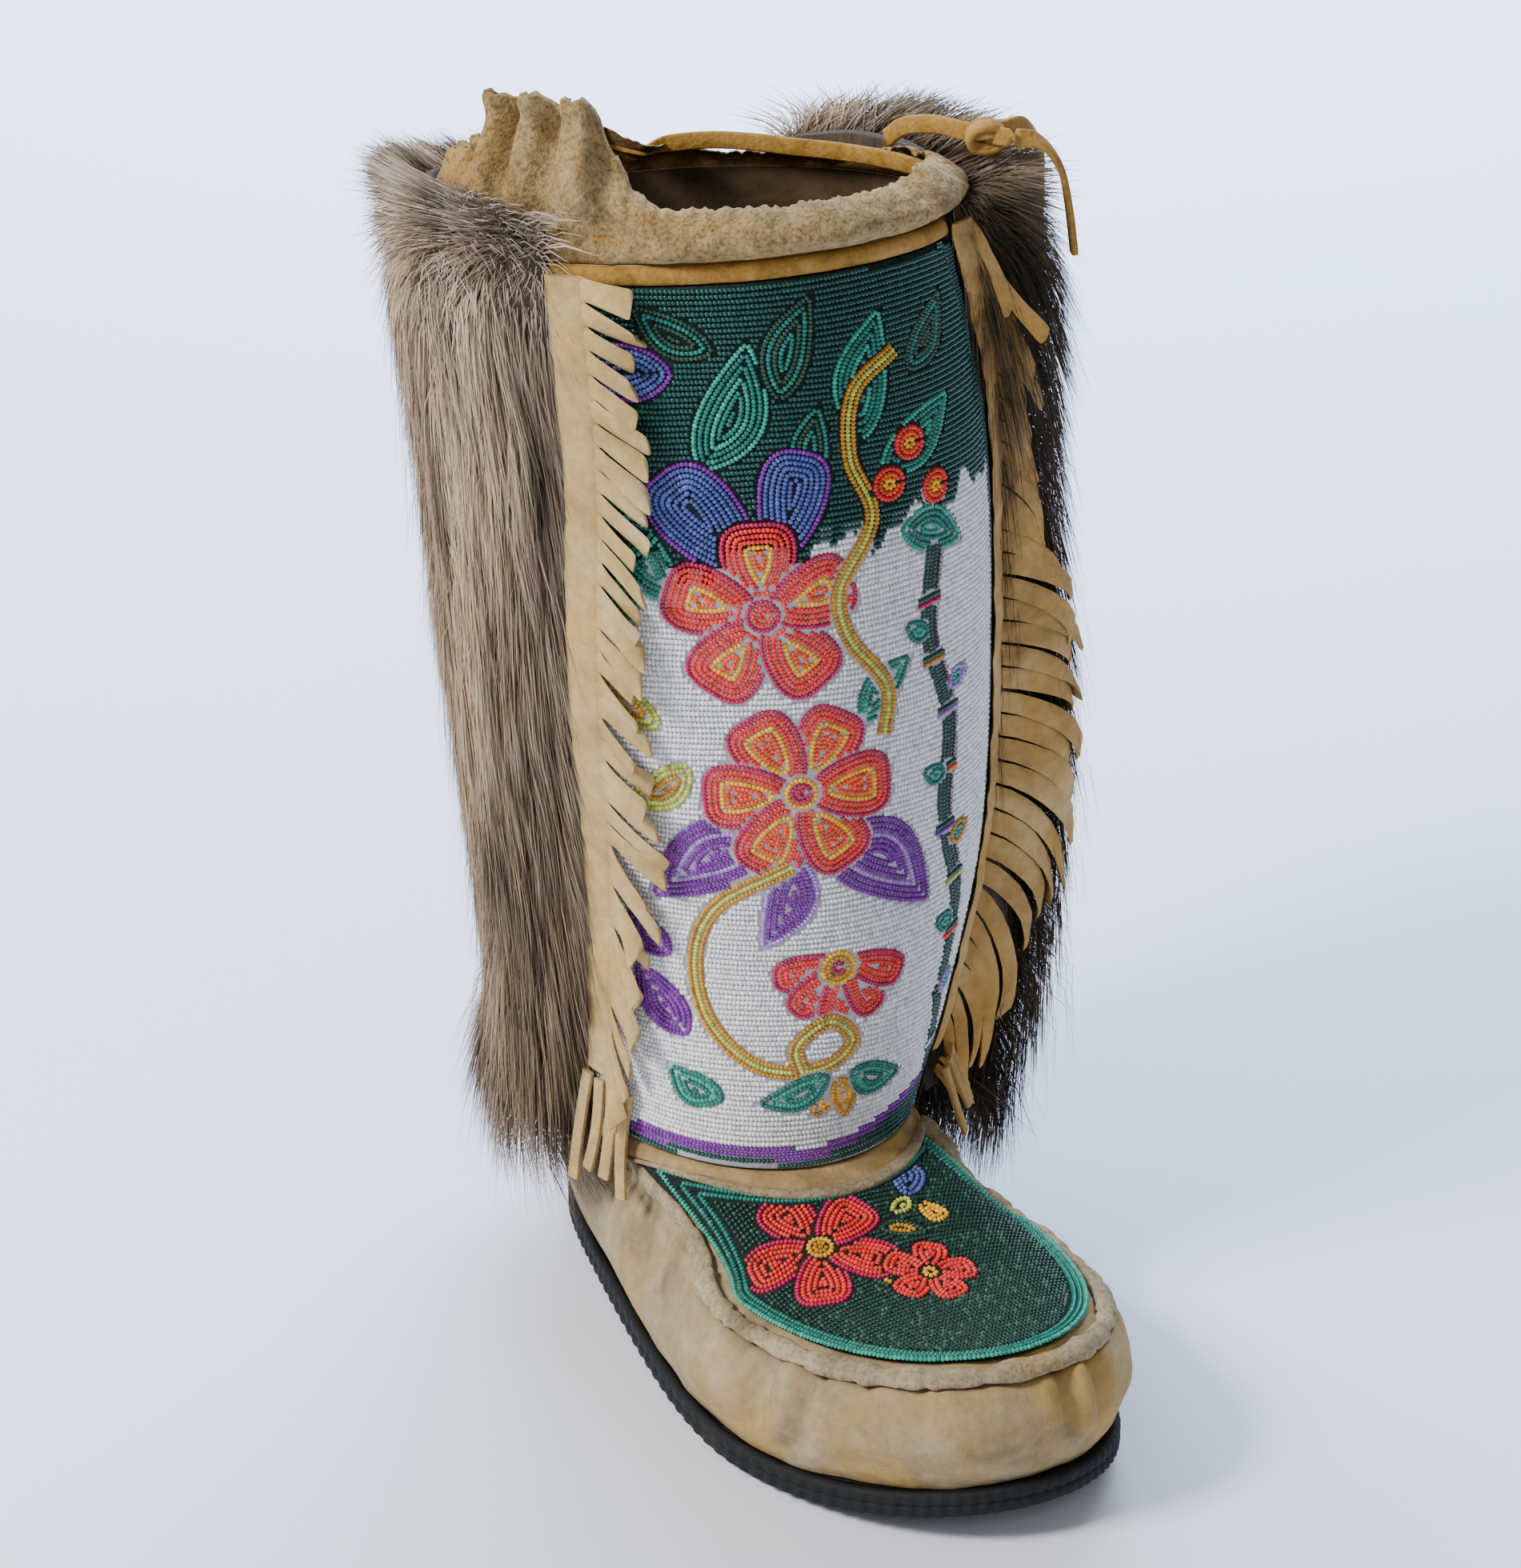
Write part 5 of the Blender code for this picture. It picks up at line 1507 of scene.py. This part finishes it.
def slab_mesh(name, face, normals, material):
    """A soft-edged slab over each grid of a stack of grids."""
    count, _, columns = face.shape[:3]
    across = np.linspace(-1, 1, columns)
    crown = np.sqrt(np.maximum(0.0, 1 - np.abs(across) ** 6)) * 0.5 + 0.5
    half = normals * (FRINGE_THICKNESS * crown[None, None, :, None] - FRINGE_THICKNESS * 0.5)
    front, back = face + half, face - half
    points, faces = [], []
    total = 0
    for k in range(count):
        p, f = sheet_shell(front[k], back[k])
        points.append(p)
        faces.append(f + total)
        total += len(p)
    return new_object(name, np.concatenate(points), np.concatenate(faces), material, sharp=50)


# Rows of a strip, from its root to its end, and its width there
STRIP_ROWS = (0, 0.14, 0.28, 0.42, 0.56, 0.70, 0.82, 0.92, 0.975, 1.0)
STRIP_WIDTHS = (1, 1, 1, 1, 1, 1, 1, 0.98, 0.88, 0.66)


def make_fringe(name, node, share, rows, band_lift, edge_lift, pitch, bunch, material, seed, loose, full):
    """A band down the panel's edge, cut into slanting strips that overlap and curl a little."""
    rng = np.random.default_rng(seed)
    top, foot = FRINGE_TOP_LEVEL, FRINGE_FOOT_LEVEL
    start = skin(edge_angle(top, share), top)[2]
    length = start - skin(edge_angle(foot, share), foot)[2]
    count = int(length / pitch)
    f = np.array(STRIP_ROWS)[None, :, None]
    narrow = np.array(STRIP_WIDTHS)[None, :, None]
    across = np.linspace(-0.5, 0.5, 7)[None, None, :]
    number = np.arange(count)[:, None, None]
    place = (number + 0.5 + across * full * narrow) / count
    place = place + across * rng.uniform(-0.10, 0.16, (count, 1, 1)) * f / count
    level = drop_level(share, top, place * length)
    middle = (number + 0.5) / count
    run = table(rows, middle, 1) * rng.uniform(0.86, 1.14, (count, 1, 1))
    fall = table(rows, middle, 2) * rng.uniform(0.78, 1.25, (count, 1, 1))
    lift = table(rows, middle, 3)
    run = run + across * rng.normal(0, 0.0012, (count, 1, 1)) * f ** 4
    reach = FRINGE_SOLID + (run - FRINGE_SOLID + FRINGE_BAND) * f - 0.0022 * across * f * (fall > run)
    low = drop_level(share, level, fall * f ** 1.2)
    lean = rng.normal(0, 0.0009, (count, 1, 1)) * loose
    off = mix(edge_lift, lift, np.sin(f * math.pi / 2)) + 0.0009 + lean * f ** 2
    curl = rng.uniform(-0.35, 1.0, (count, 1, 1)) ** 3 * 0.0060 * loose
    twist = rng.normal(0.10, 0.30, (count, 1, 1)) * loose
    off = off + curl * f ** 3 + twist * across * f ** 1.5 * pitch
    shingle = 0.0008 * (0.5 - across) * np.minimum(1, f * 4) + 0.0011 * (number % 2) * f
    points, normals = round_leg(share, low, reach, np.maximum(off + shingle, 0.0035))
    points = points + 0.00035 * value_noise(points, 0.004, seed)[..., None] * normals
    strips = slab_mesh(name + "_strips", points, normals, material)
    place = np.linspace(0, 1, 220)[:, None]
    across = np.linspace(0, 1, 8)[None, :]
    level = drop_level(share, top, place * length)
    level, across = np.broadcast_arrays(level, across)
    reach = across * (FRINGE_SOLID + 0.0012)
    wave = 0.0004 * line_noise(place[:, 0] * 60, seed + 1)[:, None]
    points, normals = round_leg(share, level, reach, mix(band_lift, edge_lift, across) + 0.0010 + wave)
    band = slab_mesh(name + "_band", points[None], normals[None], material)
    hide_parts(node)
    make_bunch(name, share, bunch, material, seed)


def make_bunch(name, share, bunch, material, seed):
    """The strips that hang side by side at the band's foot."""
    rng = np.random.default_rng(seed + 9)
    strips, begin, lift, rise, drop, spread = bunch
    step = BUNCH_STRIP + 0.0010
    parts = []
    for i in range(strips):
        run = begin + i * step + BUNCH_STRIP / 2
        level = drop_level(share, np.float64(FRINGE_FOOT_LEVEL), 0.0010)
        base, normal = round_leg(share, level, run, lift + 0.0009)
        out = unit(np.array([normal[0], normal[1], 0.0]))
        along = np.cross([0, 0, 1.0], out)
        hang = drop * (1 - 0.12 * ((i * 2) % 3)) * rng.uniform(0.92, 1.08) + 0.005
        side = i - (strips - 1) / 2
        f = np.linspace(0, 1, 12)[:, None]
        bow = rng.normal(0, 0.0010)
        path = base + out * (rise * f) + along * (side * spread * f + bow * np.sin(f * 3))
        path = path - np.array([0, 0, 1.0]) * hang * f
        turn = rng.normal(0, 0.25)
        ups = out * math.cos(turn) + along * math.sin(turn) * f
        ups = np.broadcast_to(ups, path.shape)
        parts.append(sweep(path, ups, BUNCH_STRIP, FRINGE_THICKNESS, taper=np.linspace(1.0, 0.9, 12)))
    points, faces = join(parts)
    bunches = new_object(name + "_bunch", points, faces, material, sharp=50)


make_fringe(
    "fringe_outer", "fringe_lateral", 0.0, OUTER_STRIPS, 0.0036, 0.0038, 0.0070, OUTER_BUNCH, PALE_HIDE,
    seed=41, loose=1.25, full=0.97)
make_fringe(
    "fringe_inner", "fringe_medial", 1.0, INNER_STRIPS, 0.0034, 0.0060, 0.0076, INNER_BUNCH, ORANGE_HIDE,
    seed=42, loose=1.0, full=0.88)


# Fur
def fur_angle(level, share):
    start = edge_angle(level, 1.0)
    clear = FUR_EDGE_CLEAR + FUR_HEM_CLEAR * (1 - smooth((level - 7) / 2.5))
    start = start + (FRINGE_BAND + clear) / arc_per_radian(start, level)
    end = edge_angle(level, 0.0) + 2 * math.pi
    end = end - clear / arc_per_radian(end, level)
    return mix(start, end, share)


def bushy_side(share):
    """1 on the inner side, where the fur stands out beside the fringe."""
    return smooth((share + 0.01) / 0.035) * (1 - smooth((share - 0.24) / 0.20))


def fur_depth(share, level):
    bushy = bushy_side(share)
    edge = np.minimum(share, 1 - share) * FUR_GIRTH
    rise = smooth(edge / mix(FUR_EDGE_RUN, FUR_BUSHY_RUN, bushy)) ** 0.7
    body = mix(FUR_EDGE_DEPTH, mix(FUR_DEPTH, FUR_BUSHY_DEPTH, bushy), rise)
    hem = smooth((level - FUR_HEM_LEVEL) / 1.2)
    low = 1 - smooth((level - ANKLE) / 3.5)
    return body * mix(mix(0.55, 0.85, bushy), 1.0, hem) * (1 + FUR_LOW_SPREAD * low * (1 + 0.5 * bushy))


def fur_levels(share, v):
    """Levels of the fur from its hem, v 0, to the leg's top, v 1, raised at the inner front corner."""
    bottom = FUR_HEM_LEVEL + FUR_HEM_RAISE * (1 - smooth(share / 0.14))
    low = skin(fur_angle(bottom, share), bottom)[..., 2]
    top = fur_angle(np.full(np.shape(share), float(TOP)), share)
    high = skin(top, TOP)[..., 2] + table(FUR_TOP, share, 1)
    angle = fur_angle(np.full(np.shape(share), FUR_MIDDLE_LEVEL), share)
    return level_at_height(angle, mix(low, high, v))


def hair_material(root, body, tip, grey):
    """Hair that is dark at its root, its tone and the paleness of its end set hair by hair."""
    paint = Paint("guard_hair", 0.55, body, Specular_IOR_Level=0.12)
    along = paint.attribute("along")
    tone = paint.attribute("tone")
    pale = paint.attribute("pale")
    colour = paint.ramp(along, (0.0, root), (0.35, body), (0.75, tip), (1.0, body))
    colour = paint.blend(pale, colour, paint.ramp(along, (0.0, body), (0.5, grey), (1.0, grey)))
    # The tone attribute carries each hair's own tone and also painted shade, on the inner side and low in the
    # pile.
    colour = paint.blend(1.0, colour, paint.ramp(tone, (0.0, 0.22), (0.5, 0.90), (1.0, 1.55)), "MULTIPLY")
    return paint.finish(colour)


HAIR = hair_material((0.030, 0.017, 0.009), (0.235, 0.150, 0.083), (0.44, 0.315, 0.195), (0.60, 0.49, 0.37))


def underfur_material():
    paint = Paint("under_fur", 0.9, (0.12, 0.08, 0.05))
    strand = paint.noise(1.0, 4.0, 0.6, place=paint.stretch((700, 700, 60)))
    colour = paint.ramp(strand, (0.3, (0.022, 0.013, 0.008)), (0.7, (0.085, 0.054, 0.031)))
    return paint.finish(colour, None, paint.bump(strand, 0.8, 0.002))


UNDERFUR = underfur_material()
HAIRS, HAIRS_QUICK, HAIR_PIECES = 96000, 45000, 3


def make_fur():
    columns, rows = 110, 62
    share = np.linspace(0, 1, columns)[None, :]
    v = np.linspace(0, 1, rows)[:, None]
    share, v = np.broadcast_arrays(share, v)
    level = fur_levels(share, v)
    angle = fur_angle(level, share)
    depth = fur_depth(share, level)
    round_top = np.sqrt(np.maximum(0.0, 1 - smooth((v - 0.90) / 0.10) ** 2 * 0.95))
    where = np.stack([share * 34, v * 9], -1)
    lumps = value_noise(where, 1.0, 51) * 0.0022 + value_noise(where * 2.3, 1.0, 52) * 0.0012
    outer = hide(angle, level, FUR_GAP + (depth * mix(0.62, 0.74, bushy_side(share)) + lumps) * round_top)
    points, faces = sheet_shell(outer, hide(angle, level, FUR_GAP))
    shell = new_object("fur_underlayer", points, faces, UNDERFUR)
    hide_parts("fur_wrap")
    total = HAIRS
    for part in range(HAIR_PIECES):
        hair_piece(part, total // HAIR_PIECES)


# Locks of the hair: how many lie side by side and one above another, and how many leans are drawn for them
LOCKS_AROUND, LOCKS_HIGH, LOCK_LEANS = 46, 13, 4099


def hair_piece(part, count):
    """Fine blades that fall down the leg in locks and stand up fluffy at its top."""
    rng = np.random.default_rng(60 + part)
    share = rng.uniform(0, 1, count)
    v = rng.uniform(0, 1, count)
    if part == 2:
        v = np.where(rng.uniform(0, 1, count) < 0.50, 1 - 0.10 * rng.uniform(0, 1, count) ** 1.6, v)
    level = fur_levels(share, v)
    angle = fur_angle(level, share)
    depth = fur_depth(share, level)
    out = skin_normal(angle, level)
    around = unit(np.cross(np.array([0, 0, 1.0]), out))
    down = unit(np.cross(around, out))
    down = np.where(down[:, 2:] > 0, -down, down)
    crest = smooth((v - 0.90) / 0.10) * table(FUR_CREST, share, 1)
    # 1 on the inner side, which faces away from the key light: its hair is darker, partly darker guard hair
    # and partly painted shade
    dark_and_shaded_side = 1 - smooth((share - 0.10) / 0.25)
    flow = 0.22 * value_noise(np.stack([share * 7, v * 4], -1), 1.0, 71) + rng.normal(0, 0.07, count)
    flow = flow + 0.16 * smooth((share - 0.55) / 0.3) - 0.05
    flow = flow * (1 - crest) + crest * rng.normal(0, 0.55, count)
    outer_side = smooth((share - 0.45) / 0.2)
    length = rng.uniform(0.024, 0.042, count) * mix(1.0, mix(0.50, 0.45, outer_side), crest)
    guard = rng.uniform(0, 1, count) < mix(0.05, 0.12, dark_and_shaded_side)
    length = np.where(guard, length * mix(1.3, 1.1, dark_and_shaded_side), length)
    length = length * (1 + 0.10 * bushy_side(share) * (1 - smooth(v / 0.16)))
    round_top = 1 - 0.80 * smooth((v - 0.91) / 0.09) * rng.uniform(0.35, 1.0, count)
    inside_depth = depth * mix(0.50, 0.66, bushy_side(share)) * round_top
    root = skin(angle, level) + out * (FUR_GAP + inside_depth)[:, None]
    column = share * LOCKS_AROUND + 0.35 * value_noise(np.stack([share * 12, v * 16], -1), 1.0, 75)
    lock = np.floor(column)
    band = np.floor(v * LOCKS_HIGH + 0.5 * (lock % 2))
    gather = (lock + 0.5 - column) / LOCKS_AROUND * FUR_GIRTH * 0.62 * (1 - crest)
    key = (lock * 131 + band * 17).astype(int) % LOCK_LEANS
    lean = np.random.default_rng(99).normal(0, 1, (LOCK_LEANS, 2))[key]
    body = depth * rng.uniform(0.50, 0.95, count)
    body = np.where(guard, body * 1.45, body)
    bushy = bushy_side(share)
    spread_edge = smooth(np.minimum(share, 1 - share) * FUR_GIRTH / mix(0.02, 0.03, bushy))
    body = (body + 0.0040 * bushy) * mix(mix(0.45, 0.25, bushy), 1.0, spread_edge) * mix(1.0, 0.9, crest)
    rows = []
    for t in (0.0, 0.45, 1.0):
        rise = body * (1 - (1 - t) ** 2.4) * 0.62
        fall = length * (0.25 * t + 0.75 * t ** 1.15)
        up = crest * length * (0.95 * t - 0.30 * t * t)
        p = root + out * rise[:, None] + down * (fall * (1 - crest))[:, None]
        p = p + np.array([0, 0, 1.0]) * up[:, None] + out * (crest * length * 0.34 * t * t)[:, None]
        p = p + around * (flow * length * t + gather * t ** 1.2 + lean[:, 0] * 0.0016 * t * t)[:, None]
        p = p + out * (lean[:, 1] * 0.0011 * t * t)[:, None]
        rows.append(p)
    wide = np.where(guard, 0.00021, 0.00040) * rng.uniform(0.75, 1.25, count)
    face = unit(out + around * rng.normal(0, 0.45, count)[:, None])
    verts = []
    for k, p in enumerate(rows):
        ahead = rows[min(k + 1, 2)] - rows[max(k - 1, 0)]
        side = unit(np.cross(ahead, face))
        half = (wide * (1.0, 1.0, 0.0)[k] / 2)[:, None]
        if k < 2:
            verts += [p - side * half, p + side * half]
        else:
            verts.append(p)
    verts = np.stack(verts, 1)
    verts[..., 2] = np.maximum(verts[..., 2], 0.002)
    beyond = np.maximum(verts[..., 0] - FUR_REACH, 0)
    verts[..., 0] -= beyond - FUR_REACH_SPARE * (1 - np.exp(-beyond / FUR_REACH_SPARE))
    per = verts.shape[1]
    cell = np.array([(0, 1, 3), (0, 3, 2), (2, 3, 4)])
    faces = (cell[None] + (np.arange(count) * per)[:, None, None]).reshape(-1, 3)
    hair = new_object(f"fur_hair_{part + 1}", verts.reshape(-1, 3), faces, HAIR)
    patch = value_noise(np.stack([share * 14, v * 6], -1), 1.0, 81)
    streak = value_noise(np.stack([share * 46 + flow * 0.4, v * 5], -1), 1.0, 82)
    # Hairs that rise little, lying low in the pile under the others, are made darker: painted shade between
    # the locks.
    deep = 1 - smooth((body / depth - 0.5) / 0.35)
    tone = 0.40 + 0.16 * smooth(v / 0.8) + 0.14 * patch + 0.38 * streak - 0.22 * deep
    tone = tone + rng.normal(0, 0.09, count)
    # the inner side's hair made much darker, partly its own darker colour and partly painted shade
    tone = np.clip(tone, 0, 1) * mix(0.88, 0.12, dark_and_shaded_side * (1 - 0.60 * crest))
    side_pale = smooth((share - 0.72) / 0.28) * smooth((v - 0.30) / 0.6)
    pale = crest * 0.80 + 0.14 * patch + 0.30 * side_pale + rng.normal(0, 0.12, count)
    # and less pale there, for the same two reasons
    pale = np.clip(pale, 0, 1) * mix(1.0, 0.45, dark_and_shaded_side)
    along = np.array([0, 0, 0.5, 0.5, 1.0])
    layers = {"along": np.tile(along, count), "tone": np.repeat(tone, per), "pale": np.repeat(pale, per)}
    for key, values in layers.items():
        layer = hair.data.attributes.new(key, "FLOAT", "POINT")
        layer.data.foreach_set("value", values.astype(np.float32))


make_fur()


# Collar's torn edge: angle from the toe and rise above the leg's top
COLLAR_EDGE = (
    (-180, 0.0140), (-165, 0.0165), (-150, 0.0180), (-115, 0.0210), (-96, 0.0240), (-88, 0.0330),
    (-82, 0.0410), (-72, 0.0425), (-60, 0.0420), (-50, 0.0400), (-45, 0.0300), (-40, 0.0175),
    (-32, 0.0130), (0, 0.0120), (30, 0.0118), (45, 0.0138), (62, 0.0120), (85, 0.0105),
    (120, 0.0050), (148, 0.0045), (156, 0.0070), (165, 0.0110), (180, 0.0140),
)
# Gathered lobes: angle, half width in degrees, how far the lobe stands out, how much taller it is
COLLAR_LOBES = (
    (-89, 3.6, 0.0040, 0.0000),
    (-79, 3.9, 0.0068, 0.0050),
    (-67, 3.9, 0.0062, 0.0045),
    (-53, 5.2, 0.0085, 0.0060),
    (-100, 4.5, 0.0045, 0.0020),
    (-113, 4.6, 0.0050, 0.0020),
    (-127, 4.6, 0.0045, 0.0020),
    (-141, 4.6, 0.0050, 0.0010),
    (-155, 4.6, 0.0048, 0.0020),
    (-169, 4.6, 0.0045, 0.0015),
    (177, 4.5, 0.0050, 0.0030),
    (158, 4.5, 0.0020, 0.0030),
    (108, 5.0, 0.0016, 0.0),
    (90, 6.0, 0.0014, 0.0006),
    (72, 5.0, 0.0016, 0.0008),
)
# Where the gathered hide folds in towards the leg: angle, half width in degrees, how far
COLLAR_TUCKS = ((167, 5.0, 0.0120), (-60, 1.6, 0.0030), (-73, 1.6, 0.0030), (-84, 1.6, 0.0026))


def degree_gap(degrees, at):
    return (degrees - at + 180) % 360 - 180


def collar_wall(degrees, share):
    """Height above the leg's edge, distance off the hide and thickness of the collar's wall, by place."""
    rise = table(COLLAR_EDGE, degrees, 1)
    lobe = np.zeros(degrees.shape)
    taller = np.zeros(degrees.shape)
    for at, half, out, extra in COLLAR_LOBES:
        gap = degree_gap(degrees, at) / half
        bell = np.exp(-gap ** 4)
        lobe += out * (bell * (1 - 0.25 * gap ** 2))
        taller += extra * bell
    ruffled = smooth((88 - np.abs(degree_gap(degrees, -125))) / 10)
    tall = np.minimum(1.0, rise / 0.030)
    high = smooth((rise - 0.020) / 0.015)
    offset = COLLAR_BULGE * np.sin(math.pi * share)
    offset = offset - mix(COLLAR_DRAW_IN, COLLAR_LEAN_IN, smooth(rise / 0.045)) * share * share
    gather = 0.0036 * ruffled * tall
    tuck = np.zeros(degrees.shape)
    for at, half, deep in COLLAR_TUCKS:
        tuck += deep * np.exp(-(degree_gap(degrees, at) / half) ** 2)
    offset = offset + (lobe - gather) * share ** 0.9 * mix(0.6, 1.15, tall) - tuck * share
    neck = np.exp(-((share * rise - 0.0095) / 0.0040) ** 2) * smooth((rise - 0.017) / 0.010)
    offset = offset - 0.0028 * neck
    flare = smooth((share - 0.74) / 0.26) ** 1.6 * high
    offset = offset + flare * 0.0062
    front = smooth((degrees + 44) / 12) * (1 - smooth((degrees - 66) / 12))
    roll = front * np.sqrt(np.maximum(0.0, 1 - (2 * share - 1) ** 2))
    place = np.stack([degrees / 5.0, share * 3], -1)
    lumps = value_noise(place, 1.0, 91) * 0.0011 + value_noise(place * 3.1, 1.0, 92) * 0.0005
    offset = offset + roll * 0.0046 + lumps * (0.5 + 0.5 * share)
    line = degrees / 1.3
    jag = 0.0014 * line_noise(line, 93) + 0.0008 * line_noise(line * 2.7, 94)
    jag = jag * smooth((share - 0.75) / 0.25) * (0.35 + 0.65 * tall)
    height = GAP + share * (rise + taller * tall) + jag - flare * 0.0022
    thick = COLLAR_WALL * mix(1.0, 0.85, share) + roll * 0.0080 + 0.0012 * high * smooth((share - 0.8) / 0.2)
    return height, offset, thick


def make_collar():
    columns, rows = 480, 27
    degrees = np.linspace(-180, 180, columns, endpoint=False)[None, :]
    share = np.linspace(0, 1, rows)[:, None]
    degrees, share = np.broadcast_arrays(degrees, share)
    height, offset, thick = collar_wall(degrees, share)
    outer = over_leg(degrees, height, offset)
    inner = over_leg(degrees, height, offset - thick)
    points, faces = sheet_shell(outer, inner, wrap=True)
    collar = new_object("gathered_collar", points, faces, [COLLAR_HIDE, COLLAR_INSIDE_SHADED])
    cells = (rows - 1) * columns
    index = np.zeros(len(faces), np.int32)
    # the inner face takes the darkened suede, painted shade
    index[cells:2 * cells] = 1
    collar.data.polygons.foreach_set("material_index", index)
    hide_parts("collar")


make_collar()


def make_drawstring():
    """The string that gathers the collar: threaded in its wall, and free across the low inner back."""
    degrees = np.linspace(-180, 180, 181)[:-1]
    rise = table(COLLAR_STEPS, degrees, 2)
    free = smooth((degrees - 66) / 16) * (1 - smooth((degrees - 158) / 12))
    share = np.clip((rise - 0.001) / table(COLLAR_EDGE, degrees, 1), 0.1, 0.8)
    height, offset, thick = collar_wall(degrees, share)
    level = mix(height, rise + 0.0006 * np.sin(np.radians(degrees) * 5 + 1.0), free)
    straight = 0.0030 * np.exp(-((degrees - 122) / 26) ** 2)
    inset = mix(offset - thick / 2, -STRING_INSET - THONG_THICKNESS / 2 - straight, free)
    centres = over_leg(degrees, level, inset)
    ups = skin_normal(np.radians(degrees), np.full(degrees.shape, float(TOP)))
    width = mix(0.0030, STRING_WIDTH, free)
    points, faces = sweep(centres, ups, width, mix(0.0010, THONG_THICKNESS * 0.9, free), closed=True)
    string = new_object("drawstring_thong", points, faces, THONG)
    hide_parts("drawstring")


make_drawstring()


# Ribs of the sole's edge, from the floor up: height, how far it stands out, and whether it is ribbed
SOLE_EDGE = (
    (0.0012, 0.0004, False),
    (0.0016, 0.0011, True),
    (0.0035, 0.0013, True),
    (0.0048, 0.0012, True),
    (0.0052, 0.0007, True),
    (0.0056, 0.0012, True),
    (0.0075, 0.0013, True),
    (0.0088, 0.0010, False),
    (0.0092, 0.0002, False),
)
RIB_DEPTH = 0.00022


def make_sole():
    for node, material in (("outsole", RUBBER), ("insole", FELT)):
        for material_slot in NODES[node].material_slots:
            material_slot.material = material
    count = 720
    angle = np.linspace(-math.pi, math.pi, count, endpoint=False)
    base = skin(angle, np.ones(count))
    run = skin(angle + 0.01, np.ones(count)) - skin(angle - 0.01, np.ones(count))
    outward = unit(np.stack([run[:, 1], -run[:, 0], np.zeros(count)], -1))
    rib = RIB_DEPTH * np.where((np.arange(count) // 3) % 2 == 0, 1.0, -1.0)
    rows = []
    for height, proud, ribbed in SOLE_EDGE:
        off = -SOLE_INSET + proud + (rib if ribbed else 0)
        x = base[:, 0] + outward[:, 0] * off
        y = base[:, 1] + outward[:, 1] * off
        rows.append(np.stack([x, y, height + spring_lift(y)], -1))
    outer = np.stack(rows)
    inner = outer - outward[None] * 0.0022
    points, faces = sheet_shell(outer, inner, wrap=True)
    side = new_object("sole_ribbed_edge", points, faces, RUBBER)


make_sole()


# Lights: name, place, power, size, colour and aim
LIGHTS = (
    ("key", (-1.50, -0.10, 1.45), 52, 0.5, (1.0, 0.99, 0.97), (0, -0.05, 0.2)),
    ("front", (-0.7, -1.7, 1.3), 5, 0.8, (1, 1, 1), (0, -0.05, 0.2)),
    ("backdrop", (1.15, 1.9, 1.8), 270, 2.6, (0.62, 0.76, 1.0), (1.15, 1.9, 0.0)),
)
SKY_COLOUR = (0.90, 0.92, 1.0, 1)
SKY_STRENGTH = 0.31


def make_stage():
    mesh = bpy.data.meshes.new("floor")
    half = 6.0
    corners = [(-half, -half, 0), (half, -half, 0), (half, half, 0), (-half, half, 0)]
    mesh.from_pydata(corners, [], [(0, 1, 2, 3)])
    paint = Paint("floor_paper", 0.8, (0.90, 0.90, 0.97))
    soft = paint.noise(3.0, 2.0)
    tones = (0.3, (0.86, 0.88, 0.98)), (0.7, (0.88, 0.90, 0.98))
    mesh.materials.append(paint.finish(paint.ramp(soft, *tones)))
    floor = bpy.data.objects.new("floor", mesh)
    bpy.context.scene.collection.objects.link(floor)
    world = bpy.data.worlds.new("studio")
    world.use_nodes = True
    background = world.node_tree.nodes["Background"]
    background.inputs["Color"].default_value = SKY_COLOUR
    background.inputs["Strength"].default_value = SKY_STRENGTH
    bpy.context.scene.world = world
    for name, place, power, wide, colour, aim in LIGHTS:
        data = bpy.data.lights.new(name, "AREA")
        data.energy = power
        data.size = wide
        data.color = colour
        light = bpy.data.objects.new(name, data)
        light.location = place
        light.rotation_euler = (Vector(aim) - Vector(place)).to_track_quat("-Z", "Y").to_euler()
        bpy.context.scene.collection.objects.link(light)


make_stage()

bpy.context.view_layer.update()
